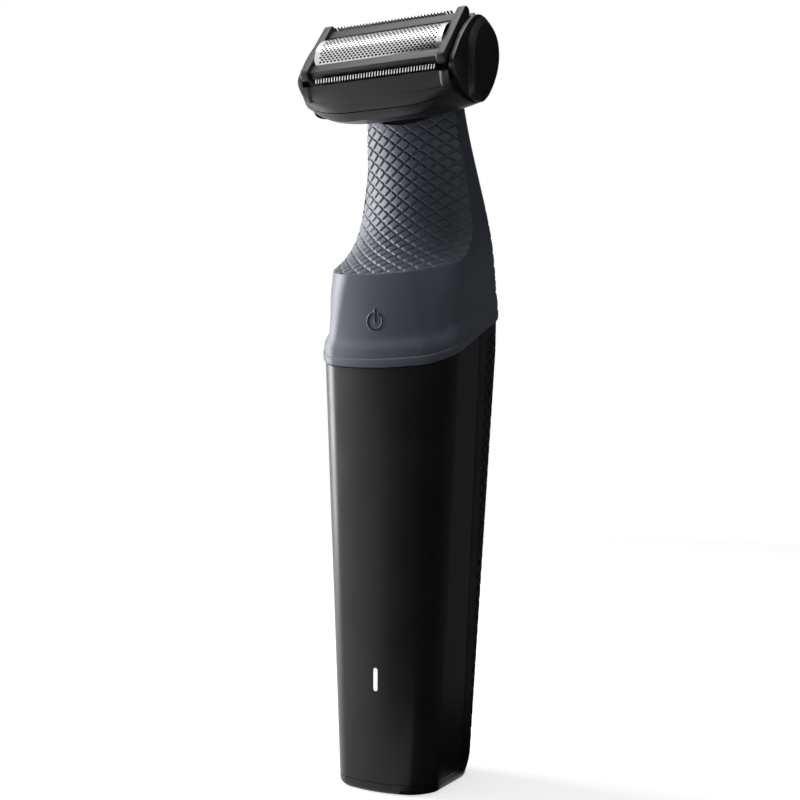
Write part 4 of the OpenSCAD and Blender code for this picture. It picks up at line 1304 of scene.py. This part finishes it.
# Scale of the noise, darker and lighter grey, roughness and specular level
FLOOR_LOOK = (4.0, (0.46, 0.48), 0.9, 0.1)
FLAG_LOOK = (200.0, (0.004, 0.008), 1.0, 0.0)
# Name, first and last azimuth, lower and upper height, and glow of each upright card
FLAGS = (("handle_flag", -16, 88, 0, 88, 0.0), ("collar_flag", -26, 88, 88, 118, 0.0),
         ("head_flag", -18, 88, 161, 212, 0.0), ("side_flag", 88, 195, 0, 140, SIDE_GLOW),
         ("cheek_flag", 96, 180, 140, 330, 0.0))
# Name, place, target, width and height, and watts of each light
LIGHTS = (("key", (-596, -60, 200), (0, 0, 100), (300, 600), 10),
          ("top", (-60, -60, 640), (0, 0, 120), (420, 420), 1.8))


def math_node(tree, operation, first):
    node = tree.nodes.new("ShaderNodeMath")
    node.operation = operation
    tree.links.new(first, node.inputs[0])
    return node


def seen_directly(tree):
    """1 for rays from the camera and for reflections and transmissions, 0 for diffuse light."""
    path = tree.nodes.new("ShaderNodeLightPath").outputs
    seen = path["Is Camera Ray"]
    for ray in ("Is Glossy Ray", "Is Transmission Ray"):
        node = math_node(tree, "MAXIMUM", seen)
        tree.links.new(path[ray], node.inputs[1])
        seen = node.outputs[0]
    return seen


def make_world():
    """White where it is seen, and a faint fill for diffuse light."""
    world = bpy.data.worlds.new("studio")
    bpy.context.scene.world = world
    world.use_nodes = True
    tree = world.node_tree
    tree.nodes.clear()
    mix = tree.nodes.new("ShaderNodeMixShader")
    tree.links.new(seen_directly(tree), mix.inputs["Fac"])
    for socket, strength in ((1, WORLD_FILL), (2, 1.0)):
        node = tree.nodes.new("ShaderNodeBackground")
        node.inputs["Color"].default_value = WHITE
        node.inputs["Strength"].default_value = strength
        tree.links.new(node.outputs[0], mix.inputs[socket])
    output = tree.nodes.new("ShaderNodeOutputWorld")
    tree.links.new(mix.outputs[0], output.inputs["Surface"])


def stage_look(obj, name, scale, greys, rough, specular):
    """A rough cloudy material for a stage object; gives back its tree and shader."""
    material, tree, shader = principled(name)
    cloud = noise(tree, object_coordinates(tree), scale)
    colour = ramp(tree, cloud, *((grey, grey, grey) for grey in greys))
    tree.links.new(colour, shader.inputs["Base Color"])
    shader.inputs["Roughness"].default_value = rough
    shader.inputs["Specular IOR Level"].default_value = specular
    shader.inputs["Emission Color"].default_value = WHITE
    obj.data.materials.append(material)
    return tree, shader


def make_floor():
    turn = np.linspace(0, 2 * math.pi, FLOOR_POINTS, endpoint=False)
    points = [(FLOOR_R * math.cos(a), FLOOR_R * math.sin(a), FLOOR_Z) for a in turn]
    floor = mesh_object("floor", points, [tuple(range(FLOOR_POINTS))])
    tree, shader = stage_look(floor, "pale_floor", *FLOOR_LOOK)
    glow = math_node(tree, "MULTIPLY", seen_directly(tree))
    glow.inputs[1].default_value = FLOOR_GLOW
    tree.links.new(glow.outputs[0], shader.inputs["Emission Strength"])


def area_light(name, place, target, size, watts):
    light = bpy.data.lights.new(name, "AREA")
    light.shape = "RECTANGLE"
    light.size = size[0] * MM
    light.size_y = size[1] * MM
    light.energy = watts
    obj = new_object(name, light)
    obj.location = Vector(place) * MM
    obj.rotation_euler = (Vector(target) - Vector(place)).to_track_quat("-Z", "Y").to_euler()


def make_flag(name, a0, a1, low, high, glow=0.0):
    """A dark card that shows in reflections only; its edges are pairs of radius and height."""
    turn = np.radians(np.linspace(a0, a1, FLAG_POINTS))
    points = [(r * math.sin(a), -r * math.cos(a), z) for r, z in (low, high) for a in turn]
    flag = mesh_object(name, points, grid_faces(2, len(turn), False))
    shader = stage_look(flag, name, *FLAG_LOOK)[1]
    shader.inputs["Emission Strength"].default_value = glow
    flag.visible_camera = False
    flag.visible_diffuse = False
    flag.visible_shadow = False


def make_flags():
    """Cards in front of the handle, collar and head, beside them and on the floor."""
    for name, a0, a1, z0, z1, glow in FLAGS:
        make_flag(name, a0, a1, (FLAG_R, z0), (FLAG_R, z1), glow)
    make_flag("floor_card", *FLOOR_CARD, (FLOOR_CARD_R, FLOOR_CARD_Z), (FLAG_R, FLOOR_CARD_Z))


def make_camera():
    camera = bpy.data.cameras.new("camera")
    camera.sensor_width = SENSOR
    camera.lens = FOCAL_PIXELS * SENSOR / IMAGE_PIXELS
    camera.shift_x = (IMAGE_PIXELS / 2 - AXIS_PIXEL) / IMAGE_PIXELS
    camera.clip_start = CLIP_START
    obj = new_object("camera", camera)
    a = math.radians(CAMERA_AZIMUTH)
    place = Vector((math.sin(a), -math.cos(a), 0)) * CAMERA_DISTANCE
    place.z = CAMERA_HEIGHT
    obj.location = place * MM
    obj.rotation_euler = (math.radians(90), 0, a)
    bpy.context.scene.camera = obj


dress_nodes()
make_front_shell()
make_light()
make_rear_grip()
make_neck()
make_button()
make_base_cap()
make_head_housing()
make_cheek("end_cap_right", 1)
make_cheek("end_cap_left", -1)
make_springs()
make_cassette_frame()
make_trimmer_guard()
make_foil()
make_world()
make_floor()
for row in LIGHTS:
    area_light(*row)
make_flags()
make_camera()
bpy.context.scene.view_settings.view_transform = "Standard"
